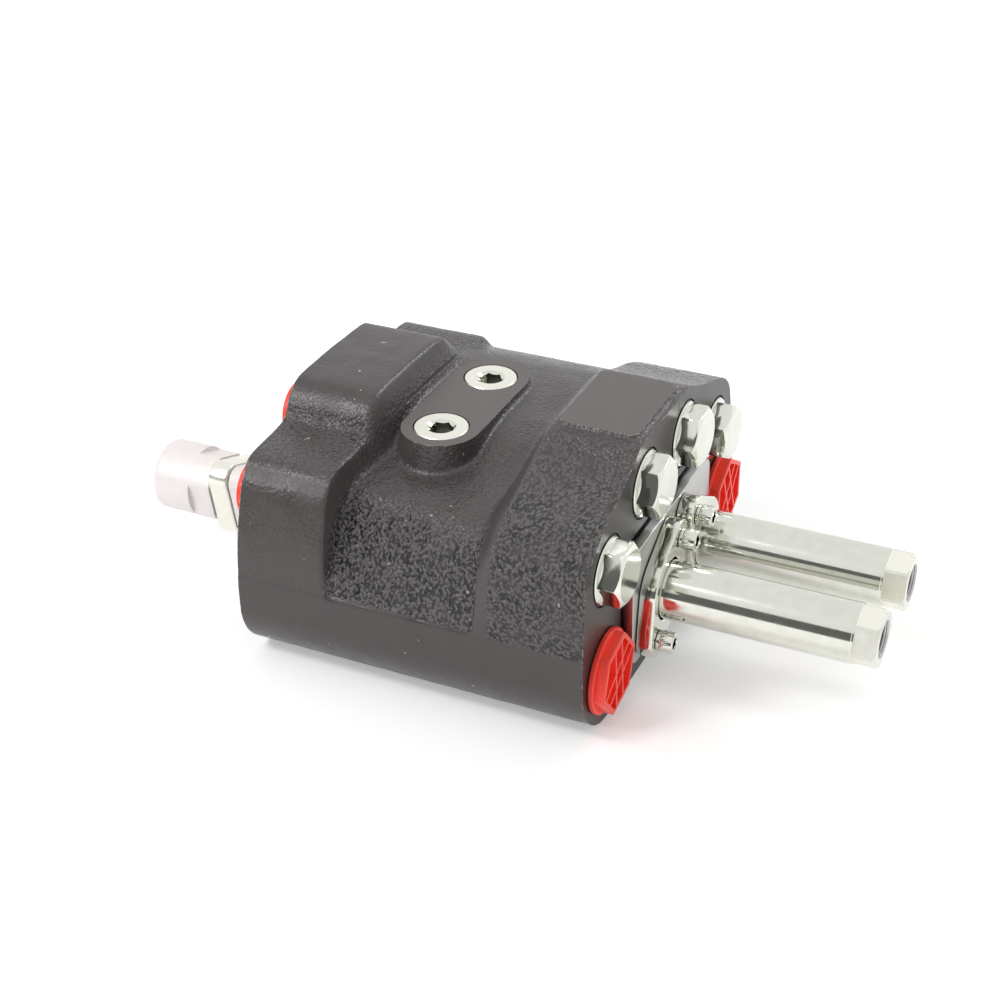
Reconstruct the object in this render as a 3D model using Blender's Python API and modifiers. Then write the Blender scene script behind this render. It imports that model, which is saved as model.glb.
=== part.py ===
"""Two-spool monoblock directional valve, pilot operated.

Metres, +Z up. +X runs along the spools towards the long spring caps, -Y is the front.
Every piece that comes apart on a bench is one object. Lengths are written as mm * number.
"""
import math

import bmesh
import bpy
from mathutils import Vector

mm = 0.001

# Fits shared by the whole valve
gap = 0.3 * mm                  # running or assembly gap between two pieces

# Facets round a turned piece or a bore: in full view, small, and inside the valve
seen = 24
small = 14
hidden = 12

# Cast housing
body_length = 168 * mm
body_half_width = 93 * mm
left_top = 117 * mm             # flat block over the port end
middle_top = 101.5 * mm         # saddle around the boss
right_top = 118.5 * mm          # block over the spring-cap end
foot_radius = 30 * mm           # rounding along the lower edges
band_height = 46 * mm           # smooth machined band round the foot
left_shelf = 98.5 * mm          # flat step below the left block
saddle_lean = 23 * mm           # how far the front wall leans back beside the left block
saddle_lean_right = 8.5 * mm    # the same beside the right block
saddle_shelf = 88 * mm
left_block = 43 * mm            # length of the left block along X
right_block = 42 * mm           # length of the right block along X
blend = 9 * mm                  # length of the cast transition between two blocks
end_rounding = 2.2 * mm
foot_gap_height = 1.5 * mm      # relief between the two machined foot pads
foot_gap_length = 30 * mm
foot_gap_start = 29 * mm        # from the left end
stud_hole = 8.5 * mm            # tapping size of the M10 mounting holes
stud_depth = 16 * mm
stud_inset_x = 18 * mm
stud_inset_y = 11 * mm

# Spools and what centres them
spool_pitch = 47.2 * mm
spool_height = 45.2 * mm
spool_diameter = 16 * mm
spool_travel = 7 * mm
neck_diameter = 10 * mm
gallery_diameter = 25 * mm
gallery_width = 8 * mm
gallery_pitch = 25 * mm
gallery_centre = 97 * mm        # supply gallery, from the right end face
bolt_shank = 8 * mm
bolt_head = 13 * mm
bolt_head_length = 6 * mm
spring_length = 55 * mm
spring_wire = 2.4 * mm
spring_turns = 7
seat_thickness = 2.5 * mm

# Cap plate, flanges and spring caps on the right end face
plate_pocket = 3 * mm           # depth of the pocket milled for the plate
plate_proud = 5 * mm
plate_half_width = 48.5 * mm
plate_half_height = 29.5 * mm
plate_corner = 9 * mm
pocket_margin = 2 * mm
flange_thickness = 7.4 * mm
flange_radius = 19 * mm
flange_tip = 8.5 * mm
bolt_spacing = 46.3 * mm
bolt_tilt = 56.4                # degrees from the horizontal
tube_diameter = 27 * mm
tube_wall = 2.5 * mm
tube_end = 109 * mm             # from the right end face
tube_gap = 0.8 * mm             # black ring between tube and flange
collar_diameter = 31.4 * mm
collar_thickness = 2.8 * mm
hex_end_length = 10.4 * mm
hex_end_flats = 24 * mm
pilot_port = 16 * mm
pilot_port_depth = 12 * mm
pilot_orifice = 6 * mm
tube_bottom = 6 * mm            # metal left behind the pilot port
cap_ring_wire = 1.8 * mm        # O-ring under the tube collar

# Socket screws of the flanges and covers
screw_diameter = 6 * mm
screw_head = 10 * mm
screw_head_length = 6 * mm
screw_socket = 5 * mm
screw_socket_depth = 3 * mm
screw_grip = 12 * mm            # thread in the housing
washer_thickness = 1.5 * mm
screw_clearance = 0.35 * mm     # radial

# Hex plugs over the port valves, right end face
outer_port_y = 67 * mm
outer_port_z = 77.4 * mm
inner_port_y = 24.1 * mm
inner_port_z = 96.5 * mm
spotface_diameter = 32.4 * mm
spotface_depth = 1.2 * mm
plug_collar = 30.2 * mm
plug_collar_thickness = 1.9 * mm
plug_flats = 25 * mm
plug_head = 9.5 * mm
plug_shank = 21.6 * mm
plug_shank_length = 18 * mm
plug_bore = 12.8 * mm
plug_bore_depth = 15 * mm
valve_seat = 12 * mm
valve_cavity = 36 * mm
poppet_head = 18 * mm
poppet_stem = 12 * mm
poppet_lift = 4 * mm
poppet_spring_wire = 1.1 * mm
poppet_spring_turns = 3

# Gallery plugs flush in the boss, with the load checks below them
boss_x = 97 * mm                # from the right end face
boss_top = 104.5 * mm
boss_radius = 18.3 * mm
boss_draft = 3 * mm
boss_depth = 34 * mm
gallery_plug_pitch = 52 * mm
gallery_plug = 25 * mm
gallery_plug_thickness = 10 * mm
gallery_socket = 10 * mm
gallery_socket_depth = 5.5 * mm
check_bore = 18 * mm
check_skirt = 16 * mm           # length of the plug's skirt below its thread
check_seat = 11 * mm
check_seat_height = 68 * mm
check_lift = 3 * mm
check_spring_room = 2.5 * mm    # metal between hex socket and spring bore

# Machined pad on the right block
pad_length = 36 * mm
pad_from_face = 4.3 * mm
pad_half_width = 26 * mm
pad_rise = 1.2 * mm

# Supply and return ports, right end face, and work ports, left end face
supply_port_y = -69 * mm
supply_port_z = 27.6 * mm
return_port_y = 73.5 * mm
return_port_z = 40 * mm
main_cap_flats = 33 * mm
main_port = 26 * mm
main_bore = 18 * mm
main_cap_collar = 39 * mm
work_cap = 31 * mm
work_port = 22 * mm
cap_head = 7 * mm
cap_collar_thickness = 2.6 * mm
cap_shank_length = 13 * mm
cap_rim = 2.2 * mm
cap_rib = 1.3 * mm
cap_recess = 3.4 * mm
port_depth = 20 * mm
cross_drill = 14 * mm
cross_height = 37 * mm

# Covers over the spool ends, left end face
cover_thickness = 12 * mm
cover_radius = 15.5 * mm
cover_boss = 24 * mm
cover_boss_length = 10 * mm
cover_port = 13 * mm
cover_port_depth = 9 * mm
cover_ring_wire = 1.6 * mm
spool_overhang = 4 * mm         # spool end standing in the cover at rest

# Main relief valve, left end face, on the middle plane
relief_height = 27.6 * mm
relief_cavity = 22 * mm
relief_cavity_depth = 48 * mm
relief_seat = 8 * mm
relief_neck = 24 * mm
relief_neck_length = 23.5 * mm
relief_hex_flats = 34 * mm
relief_hex_length = 30 * mm
relief_bore = 14 * mm
nut_thickness = 11 * mm
relief_cap_diameter = 35.8 * mm
relief_cap_length = 34.4 * mm
relief_cap_hex = 10 * mm        # length of the flats on the grey cap
adjuster_diameter = 12 * mm
relief_lift = 2 * mm
relief_spring_wire = 2.2 * mm
relief_spring_turns = 6

# Places that follow from the sizes above. face is the right end face in world X.
flange_face = plate_proud + gap + flange_thickness
left_reach = body_length + gap + relief_neck_length + relief_hex_length + nut_thickness + \
    relief_cap_length + 2 * gap
face = (left_reach - tube_end) / 2
left_face = face - body_length
spool_y = spool_pitch / 2
bolt_dy = bolt_spacing / 2 * math.cos(math.radians(bolt_tilt))
bolt_dz = bolt_spacing / 2 * math.sin(math.radians(bolt_tilt))
plug_y = gallery_plug_pitch / 2
side_names = {-1: "front", 1: "rear"}
main_ports = {-1: (supply_port_y, supply_port_z), 1: (return_port_y, return_port_z)}
poppet_room = poppet_lift + (poppet_spring_turns + 2) * poppet_spring_wire
check_room = check_lift + (poppet_spring_turns + 2) * poppet_spring_wire
port_places = {
    "front_outer": (-outer_port_y, outer_port_z),
    "front_inner": (-inner_port_y, inner_port_z),
    "rear_inner": (inner_port_y, inner_port_z),
    "rear_outer": (outer_port_y, outer_port_z),
}


def start():
    """Empty the scene and make the two collections."""
    for item in list(bpy.data.objects):
        bpy.data.objects.remove(item, do_unlink=True)
    made = []
    for name in ("monoblock_directional_valve", "cutters"):
        collection = bpy.data.collections.new(name)
        bpy.context.scene.collection.children.link(collection)
        made.append(collection)
    return made


parts, cutters = start()


def finish(name, red, green, blue, roughness, metallic):
    """A Principled material, base colour in linear values."""
    material = bpy.data.materials.new(name)
    material.use_nodes = True
    shader = material.node_tree.nodes["Principled BSDF"]
    shader.inputs["Base Color"].default_value = (red, green, blue, 1)
    shader.inputs["Roughness"].default_value = roughness
    shader.inputs["Metallic"].default_value = metallic
    return material


black_paint = finish("satin_black_paint", 0.022, 0.020, 0.021, 0.42, 0.0)
zinc = finish("bright_zinc_plate", 0.72, 0.74, 0.70, 0.22, 1.0)
plain_steel = finish("plain_steel", 0.55, 0.55, 0.56, 0.35, 1.0)
ground_steel = finish("ground_hardened_steel", 0.62, 0.62, 0.64, 0.15, 1.0)
spring_steel = finish("spring_steel", 0.30, 0.30, 0.32, 0.35, 1.0)
red_plastic = finish("red_plastic", 0.83, 0.035, 0.020, 0.35, 0.0)
grey_cap = finish("matte_grey_cap", 0.62, 0.59, 0.59, 0.55, 0.0)
teal_rubber = finish("teal_seal_rubber", 0.02, 0.30, 0.27, 0.5, 0.0)
black_rubber = finish("black_seal_rubber", 0.02, 0.02, 0.02, 0.6, 0.0)


def place(item, material, spot=(0, 0, 0), axis="Z", turn=0.0, smooth=True):
    """Put an object in its collection. axis X lays its own Z along world X."""
    collection = parts if material else cutters
    collection.objects.link(item)
    item.location = spot
    item.rotation_mode = "ZYX"
    if axis == "X":
        item.rotation_euler = (turn, math.pi / 2, 0)
    elif axis == "-X":
        item.rotation_euler = (turn, -math.pi / 2, 0)
    else:
        item.rotation_euler = (0, 0, turn)
    if material:
        item.data.materials.append(material)
    else:
        item.hide_render = True
        item.display_type = "WIRE"
    if smooth and item.type == "MESH":
        item.data.shade_smooth()
        item.data.set_sharp_from_angle(angle=math.radians(35))
    return item


def turned(name, profile, material=None, spot=(0, 0, 0), axis="X", steps=seen, ring=False):
    """Turn a profile of (height, radius) points, listed from the far end down the outer side."""
    mesh = bpy.data.meshes.new(name)
    points = [(radius, 0, height) for height, radius in profile]
    edges = [(i, i + 1) for i in range(len(points) - 1)]
    if ring:
        edges.append((len(points) - 1, 0))
    mesh.from_pydata(points, edges, [])
    item = bpy.data.objects.new(name, mesh)
    place(item, material, spot, axis, smooth=False)
    screw = item.modifiers.new("turn", "SCREW")
    screw.axis = "Z"
    screw.steps = steps
    screw.render_steps = steps
    screw.use_merge_vertices = True
    screw.merge_threshold = 0.00001
    screw.use_smooth_shade = False
    return item


def prism(name, flats, low, high, material=None, spot=(0, 0, 0), axis="X", turn=0.0, sides=6):
    """A prism by its width across flats, from low to high along its axis."""
    bm = bmesh.new()
    bmesh.ops.create_cone(bm, cap_ends=True, segments=sides, depth=high - low,
                          radius1=flats / 2 / math.cos(math.pi / sides),
                          radius2=flats / 2 / math.cos(math.pi / sides))
    bmesh.ops.translate(bm, verts=bm.verts, vec=(0, 0, (low + high) / 2))
    mesh = bpy.data.meshes.new(name)
    bm.to_mesh(mesh)
    bm.free()
    return place(bpy.data.objects.new(name, mesh), material, spot, axis, turn, smooth=False)


def block(name, low, high, material=None, spot=(0, 0, 0), axis="Z", turn=0.0):
    """A box between two corners."""
    bm = bmesh.new()
    bmesh.ops.create_cube(bm, size=1)
    size = [b - a for a, b in zip(low, high)]
    bmesh.ops.scale(bm, verts=bm.verts, vec=size)
    bmesh.ops.translate(bm, verts=bm.verts, vec=[(a + b) / 2 for a, b in zip(low, high)])
    mesh = bpy.data.meshes.new(name)
    bm.to_mesh(mesh)
    bm.free()
    return place(bpy.data.objects.new(name, mesh), material, spot, axis, turn, smooth=False)


def combine(item, tool, operation="DIFFERENCE"):
    """Add an exact Boolean to item."""
    modifier = item.modifiers.new(operation.lower(), "BOOLEAN")
    modifier.operation = operation
    modifier.solver = "EXACT"
    modifier.object = tool
    return item


def loft(name, rings, material=None, spot=(0, 0, 0)):
    """Skin a list of closed rings with the same number of points, capped at both ends."""
    bm = bmesh.new()
    rows = [[bm.verts.new(point) for point in ring] for ring in rings]
    count = len(rows[0])
    for lower, upper in zip(rows, rows[1:]):
        for i in range(count):
            j = (i + 1) % count
            bm.faces.new((lower[i], lower[j], upper[j], upper[i]))
    bm.faces.new(rows[0][::-1])
    bm.faces.new(rows[-1])
    bmesh.ops.recalc_face_normals(bm, faces=bm.faces)
    mesh = bpy.data.meshes.new(name)
    bm.to_mesh(mesh)
    bm.free()
    return place(bpy.data.objects.new(name, mesh), material, spot)


def rounded_box(half_x, half_y, radius, steps=5):
    """Outline of a rectangle with rounded corners, as (x, y) points."""
    points = []
    for corner in range(4):
        angle = corner * math.pi / 2
        sx = 1 if corner in (0, 3) else -1
        sy = 1 if corner in (0, 1) else -1
        for i in range(steps + 1):
            a = angle + math.pi / 2 * i / steps
            points.append((sx * (half_x - radius) + radius * math.cos(a),
                           sy * (half_y - radius) + radius * math.sin(a)))
    return points


def two_bolt_outline(middle, tip, reach, tilt, steps=6):
    """Oval round a middle circle and two tip circles, tilted by tilt degrees."""
    lean = math.acos((middle - tip) / reach)
    arcs = ((reach, tip, -lean, lean), (0, middle, lean, math.pi - lean),
            (-reach, tip, math.pi - lean, math.pi + lean),
            (0, middle, math.pi + lean, 2 * math.pi - lean))
    turn = math.radians(tilt)
    points = []
    for offset, radius, first, last in arcs:
        for i in range(steps + 1):
            a = first + (last - first) * i / steps
            x, y = offset + radius * math.cos(a), radius * math.sin(a)
            points.append((x * math.cos(turn) - y * math.sin(turn),
                           x * math.sin(turn) + y * math.cos(turn)))
    return points


def across(outline, low, high):
    """Rings of a (y, z) outline at two heights along X, for a loft."""
    return [[(x, y, z) for y, z in outline] for x in (low, high)]


def o_ring(name, radius, wire, material, spot, axis="X"):
    """A torus seal."""
    bpy.ops.mesh.primitive_torus_add(major_radius=radius, minor_radius=wire / 2,
                                     major_segments=16, minor_segments=5)
    item = bpy.context.object
    for collection in list(item.users_collection):
        collection.objects.unlink(item)
    item.name = name
    return place(item, material, spot, axis)


def coil(name, radius, wire, low, high, turns, material, spot, axis="X", per_turn=8):
    """A compression spring whose wire just clears the seats at low and high."""
    curve = bpy.data.curves.new(name, "CURVE")
    curve.dimensions = "3D"
    curve.bevel_depth = wire / 2
    curve.bevel_resolution = 1
    curve.use_fill_caps = True
    spline = curve.splines.new("POLY")
    steps = turns * per_turn
    spline.points.add(steps)
    start_z = low + wire / 2 + gap
    rise = high - low - wire - 2 * gap
    for i, point in enumerate(spline.points):
        angle = 2 * math.pi * i / per_turn
        point.co = (radius * math.cos(angle), radius * math.sin(angle),
                    start_z + rise * i / steps, 1)
    return place(bpy.data.objects.new(name, curve), material, spot, axis)


def drill(name, first, last, diameter, steps=hidden):
    """A round cutter between two points, its facets tangent to the true bore."""
    first, last = Vector(first), Vector(last)
    way = last - first
    radius = diameter / 2 / math.cos(math.pi / steps)
    bm = bmesh.new()
    bmesh.ops.create_cone(bm, cap_ends=True, segments=steps, depth=way.length,
                          radius1=radius, radius2=radius)
    turn = Vector((0, 0, 1)).rotation_difference(way).to_matrix().to_4x4()
    bmesh.ops.transform(bm, matrix=turn, verts=bm.verts)
    bmesh.ops.translate(bm, verts=bm.verts, vec=(first + last) / 2)
    mesh = bpy.data.meshes.new(name)
    bm.to_mesh(mesh)
    bm.free()
    return place(bpy.data.objects.new(name, mesh), None, smooth=False)


def half_profile(kind, w, lean=0.0):
    """Upper outline of one block from the foot band to the middle, as (y, z) points."""
    if kind == "left":
        return [(w, 0.33 * left_top), (0.973 * w, 0.53 * left_top), (0.925 * w, 0.71 * left_top),
                (0.885 * w, left_shelf - 5.5 * mm), (0.81 * w, left_shelf + 0.5 * mm),
                (0.56 * w, left_shelf + 1.5 * mm), (0.46 * w, left_shelf + 4 * mm),
                (0.415 * w, left_top - 7.5 * mm), (0.28 * w, left_top - 0.6 * mm), (0, left_top)]
    if kind == "right_front":
        return [(w, 0.33 * right_top), (1.0 * w, 0.48 * right_top), (0.984 * w, 0.625 * right_top),
                (0.95 * w, 0.725 * right_top), (0.866 * w, 0.796 * right_top),
                (0.745 * w, 0.85 * right_top), (0.575 * w, 0.905 * right_top),
                (0.42 * w, 0.959 * right_top), (0.30 * w, right_top - gap), (0, right_top)]
    if kind == "right_rear":
        return [(w, 0.33 * right_top), (1.0 * w, 0.5 * right_top), (0.985 * w, 0.66 * right_top),
                (0.945 * w, 0.765 * right_top), (0.86 * w, 0.83 * right_top),
                (0.745 * w, 0.872 * right_top), (0.575 * w, 0.915 * right_top),
                (0.42 * w, 0.962 * right_top), (0.30 * w, right_top - gap), (0, right_top)]
    if kind == "saddle_front":
        return [(w, 0.30 * middle_top), (w - 2 * mm, band_height),
                (w - 0.5 * lean, 0.7 * saddle_shelf), (w - lean, saddle_shelf - 4 * mm),
                (w - lean - 6 * mm, saddle_shelf), (0.5 * w, saddle_shelf + 2 * mm),
                (0.40 * w, saddle_shelf + 4 * mm), (0.32 * w, saddle_shelf + 7 * mm),
                (0.17 * w, middle_top - 2 * mm), (0, middle_top)]
    return [(w, 0.33 * middle_top), (0.99 * w, 0.6 * middle_top), (0.97 * w, 0.77 * middle_top),
            (0.92 * w, 0.855 * middle_top), (0.82 * w, 0.92 * middle_top),
            (0.65 * w, 0.972 * middle_top), (0.5 * w, 0.992 * middle_top),
            (0.43 * w, middle_top - gap), (0.32 * w, middle_top), (0, middle_top)]


def body_ring(x, mix, inset):
    """One cross section. mix holds the shares of the left, saddle and right outlines."""
    w = body_half_width
    along = (x - left_face - left_block) / (body_length - left_block - right_block)
    lean = saddle_lean + (saddle_lean_right - saddle_lean) * max(0, min(1, along))
    ring = []
    for side, end in ((-1, "_front"), (1, "_rear")):
        saddle = half_profile("saddle" + end, w, lean)
        kinds = (half_profile("left", w), saddle, half_profile("right" + end, w))
        rows = [[share * v for v in pair] for share, kind in zip(mix, kinds) for pair in kind]
        count = len(saddle)
        upper = [(sum(rows[i + k * count][0] for k in range(3)),
                  sum(rows[i + k * count][1] for k in range(3))) for i in range(count)]
        foot = [(w - foot_radius + foot_radius * math.sin(a), foot_radius - foot_radius * math.cos(a))
                for a in [math.pi / 2 * i / 6 for i in range(7)]]
        half = [(side * y, z) for y, z in foot + upper[:-1]]
        ring.append(half)
    top = sum(share * height for share, height in zip(mix, (left_top, middle_top, right_top)))
    points = ring[0][::1] + [(0, top)] + ring[1][::-1]
    centre = band_height
    if inset:
        points = [(y - math.copysign(inset, y) * min(1, abs(y) / (0.2 * w)),
                   z - inset * max(-1, min(1, (z - centre) / (0.4 * centre)))) for y, z in points]
    return [(x, y, max(z, 0 if not inset else inset)) for y, z in points]


def ease(t):
    return t * t * (3 - 2 * t)


def housing():
    """The cast body: a loft of cross sections, a boss and a pad, then every bore."""
    left_end = left_face + left_block
    right_end = face - right_block
    stations = [(left_face, (1, 0, 0), end_rounding),
                (left_face + 0.35 * end_rounding, (1, 0, 0), 0.3 * end_rounding),
                (left_face + end_rounding, (1, 0, 0), 0)]
    for i in range(5):
        t = i / 4
        stations.append((left_end + blend * (t - 0.25), (1 - ease(t), ease(t), 0), 0))
    for i in range(6):
        t = i / 5
        stations.append((right_end + 1.6 * blend * (t - 1), (0, 1 - ease(t), ease(t)), 0))
    stations += [(face - 0.8 * mm, (0, 0, 1), 0), (face, (0, 0, 1), 0.8 * mm)]
    body = loft("valve_body", [body_ring(*station) for station in stations], black_paint)

    boss = []
    for height, extra in ((boss_top - boss_depth, boss_draft), (boss_top - 1 * mm, 0.4 * mm),
                          (boss_top, 0)):
        outline = rounded_box(boss_radius + extra, plug_y + boss_radius + extra,
                              boss_radius + extra - 0.01 * mm, 7)
        boss.append([(face - boss_x + x, y, height) for x, y in outline])
    combine(body, loft("boss_shape", boss), "UNION")
    pad = []
    for height, extra in ((right_top - 12 * mm, 3 * mm), (right_top + pad_rise - 0.4 * mm, 0.4 * mm),
                          (right_top + pad_rise, 0)):
        outline = rounded_box(pad_length / 2 + extra, pad_half_width + extra, 4 * mm, 3)
        pad.append([(face - pad_from_face - pad_length / 2 + x, y, height) for x, y in outline])
    combine(body, loft("pad_shape", pad), "UNION")

    tools = bpy.data.collections.new("housing_bores")
    cutters.children.link(tools)
    for tool in housing_cutters():
        cutters.objects.unlink(tool)
        tools.objects.link(tool)
    modifier = body.modifiers.new("bores", "BOOLEAN")
    modifier.operation = "DIFFERENCE"
    modifier.solver = "EXACT"
    modifier.operand_type = "COLLECTION"
    modifier.collection = tools
    return body


def housing_cutters():
    """Everything machined or cored out of the casting."""
    tools = []
    past = 1 * mm
    pocket_half = plate_half_height + pocket_margin
    # Pocket for the cap plate
    outline = rounded_box(plate_half_width + pocket_margin, pocket_half, plate_corner, 4)
    tools.append(loft("plate_pocket", across([(y, z + spool_height) for y, z in outline],
                                             face - plate_pocket, face + past)))
    for side in (-1, 1):
        y = side * spool_y
        name = side_names[side]
        tools.append(drill(name + "_spool_bore", (left_face - past, y, spool_height),
                           (face + past, y, spool_height), spool_diameter + 2 * gap, 16))
        for i in range(-2, 3):
            x = face - gallery_centre + i * gallery_pitch
            tools.append(drill(f"{name}_gallery_{i}", (x - gallery_width / 2, y, spool_height),
                               (x + gallery_width / 2, y, spool_height), gallery_diameter, 16))
        # Load check below the gallery plug
        x = face - boss_x
        plug = side * plug_y
        low = boss_top - gallery_plug_thickness
        tools.append(drill(name + "_gallery_plug_bore", (x, plug, low), (x, plug, boss_top + past),
                           gallery_plug + 2 * gap, seen))
        tools.append(drill(name + "_check_bore", (x, plug, check_seat_height), (x, plug, low + past),
                           check_bore, 24))
        tools.append(drill(name + "_check_seat", (x, plug, spool_height),
                           (x, plug, check_seat_height + past), check_seat))
        # Supply or return port with its long bore
        deep = gallery_centre + (gallery_width / 2 if side < 0 else 2 * gallery_pitch)
        port_y, port_z = main_ports[side]
        tools.append(drill(name + "_main_port", (face - port_depth, port_y, port_z),
                           (face + past, port_y, port_z), main_port, small))
        tools.append(drill(name + "_main_bore", (face - deep, port_y, port_z),
                           (face - port_depth + past, port_y, port_z), main_bore))
        # Threads for the flange screws and the cover screws
        for sign in (-1, 1):
            screw_y, screw_z = y + sign * -side * bolt_dy, spool_height + sign * bolt_dz
            tools.append(drill(f"{name}_flange_hole_{sign}",
                               (face - plate_pocket - screw_grip - past, screw_y, screw_z),
                               (face - plate_pocket + past, screw_y, screw_z),
                               screw_diameter + 2 * screw_clearance, hidden))
            tools.append(drill(f"{name}_cover_hole_{sign}", (left_face - past, screw_y, screw_z),
                               (left_face + screw_grip + past, screw_y, screw_z),
                               screw_diameter + 2 * screw_clearance, hidden))
    # Cross drillings: supply under the middle gallery, return under the outer two
    x = face - gallery_centre
    tools.append(drill("supply_cross", (x, supply_port_y, cross_height), (x, spool_y, cross_height),
                       cross_drill))
    for i in (-2, 2):
        x = face - gallery_centre + i * gallery_pitch
        tools.append(drill(f"return_cross_{i}", (x, return_port_y, cross_height),
                           (x, -spool_y, cross_height), cross_drill))
    # Port valves on the right, work ports on the left
    for name, (y, z) in port_places.items():
        floor = face - spotface_depth
        tools.append(drill(name + "_spotface", (floor, y, z), (face + past, y, z),
                           spotface_diameter, seen))
        tools.append(drill(name + "_cavity", (face - valve_cavity, y, z), (floor, y, z),
                           plug_shank + 2 * gap, small))
        tools.append(drill(name + "_seat", (face - valve_cavity - 9 * mm, y, z),
                           (face - valve_cavity + past, y, z), valve_seat))
        tools.append(drill(name + "_work_port", (left_face - past, y, z),
                           (left_face + port_depth, y, z), work_port, small))
        tools.append(drill(name + "_work_bore", (left_face + port_depth - past, y, z),
                           (left_face + 36 * mm, y, z), 14 * mm))
        spool = math.copysign(spool_y, y)
        reach = gallery_pitch if "inner" in name else -gallery_pitch
        tools.append(drill(name + "_work_passage", (left_face + 32 * mm, y, z),
                           (face - gallery_centre - reach, spool, spool_height), 10 * mm, 8))
        tools.append(drill(name + "_return_passage", (face - valve_cavity - 7 * mm, y, z),
                           (face - gallery_centre + 2 * gallery_pitch, spool, spool_height),
                           9 * mm, 8))
    # Relief valve between the supply and return drillings
    tools.append(drill("relief_cavity", (left_face - past, 0, relief_height),
                       (left_face + relief_cavity_depth, 0, relief_height), relief_cavity, 16))
    tools.append(drill("relief_seat", (left_face + relief_cavity_depth - past, 0, relief_height),
                       (face - gallery_centre, 0, relief_height), relief_seat, 10))
    # Foot: relief between the pads and four tapped holes
    x = left_face + foot_gap_start
    tools.append(block("foot_gap", (x, -body_half_width - past, -past),
                       (x + foot_gap_length, body_half_width + past, foot_gap_height)))
    for i, sx in enumerate((left_face + stud_inset_x, face - stud_inset_x)):
        for side in (-1, 1):
            sy = side * (body_half_width - foot_radius - stud_inset_y)
            tools.append(drill(f"stud_hole_{i}_{side}", (sx, sy, -past), (sx, sy, stud_depth),
                               stud_hole))
    return tools


def spool(side):
    """A ground spool: lands between the galleries, a tapped end for the centring bolt."""
    name = side_names[side]
    land, neck = spool_diameter / 2, neck_diameter / 2
    right = -plate_pocket - gap
    left = -body_length - spool_overhang
    profile = [(right, bolt_shank / 2 + gap), (right, land - 0.5 * mm), (right - 0.5 * mm, land)]
    half = gallery_width / 2 + 2 * mm
    for i in (2, 1, 0, -1, -2):
        x = -gallery_centre + i * gallery_pitch
        if i != 0:
            profile += [(x + half, land), (x + half - 2 * mm, neck), (x - half + 2 * mm, neck),
                        (x - half, land)]
    bore = right - 16 * mm
    profile += [(left + 0.5 * mm, land), (left, land - 0.5 * mm), (left, 0), (bore, 0),
                (bore, bolt_shank / 2 + gap)]
    profile = [point for point in profile if point != (bore, 0)]
    profile = profile[1:-1]
    item = turned(name + "_spool", [(right, 0)] + profile, ground_steel,
                  (face, side * spool_y, spool_height), steps=16)
    hole = drill(name + "_spool_thread", (face + bore, side * spool_y, spool_height),
                 (face + right + 1 * mm, side * spool_y, spool_height), bolt_shank + 2 * gap)
    return combine(item, hole)


def centring(side):
    """Centring bolt, two seats and the spring inside one spring cap."""
    name = side_names[side]
    spot = (face, side * spool_y, spool_height)
    floor = plate_proud - collar_thickness - 2 * gap
    inner_top = floor + gap + seat_thickness
    outer_low = inner_top + spring_length
    bore = tube_diameter / 2 - tube_wall
    seat_radius = bore - gap
    turned(name + "_inner_spring_seat",
           [(inner_top, seat_radius), (floor + gap, seat_radius),
            (floor + gap, spool_diameter / 2 + 2 * gap), (inner_top, spool_diameter / 2 + 2 * gap)],
           plain_steel, spot, ring=True, steps=small)
    shank = bolt_shank / 2 + gap
    turned(name + "_outer_spring_seat",
           [(outer_low + seat_thickness, seat_radius - 1 * mm), (outer_low, seat_radius - 1 * mm),
            (outer_low, seat_radius - 5.2 * mm), (outer_low - 5 * mm, seat_radius - 5.2 * mm),
            (outer_low - 5 * mm, shank), (outer_low + seat_thickness, shank)],
           plain_steel, spot, ring=True, steps=small)
    head = outer_low + seat_thickness + gap
    bolt = turned(name + "_centring_bolt",
                  [(head + bolt_head_length, 0), (head + bolt_head_length, bolt_head / 2 - 0.5 * mm),
                   (head + bolt_head_length - 0.5 * mm, bolt_head / 2), (head, bolt_head / 2),
                   (head, bolt_shank / 2), (-plate_pocket - 15 * mm, bolt_shank / 2),
                   (-plate_pocket - 15 * mm, 0)], plain_steel, spot, steps=hidden)
    socket = prism(name + "_bolt_socket", 5 * mm, head + bolt_head_length - 3 * mm,
                   head + bolt_head_length + 1 * mm, None, spot)
    combine(bolt, socket)
    coil(name + "_centring_spring", bore - gap - 1.2 * mm - spring_wire / 2, spring_wire,
         inner_top, outer_low, spring_turns, spring_steel, spot)


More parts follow.
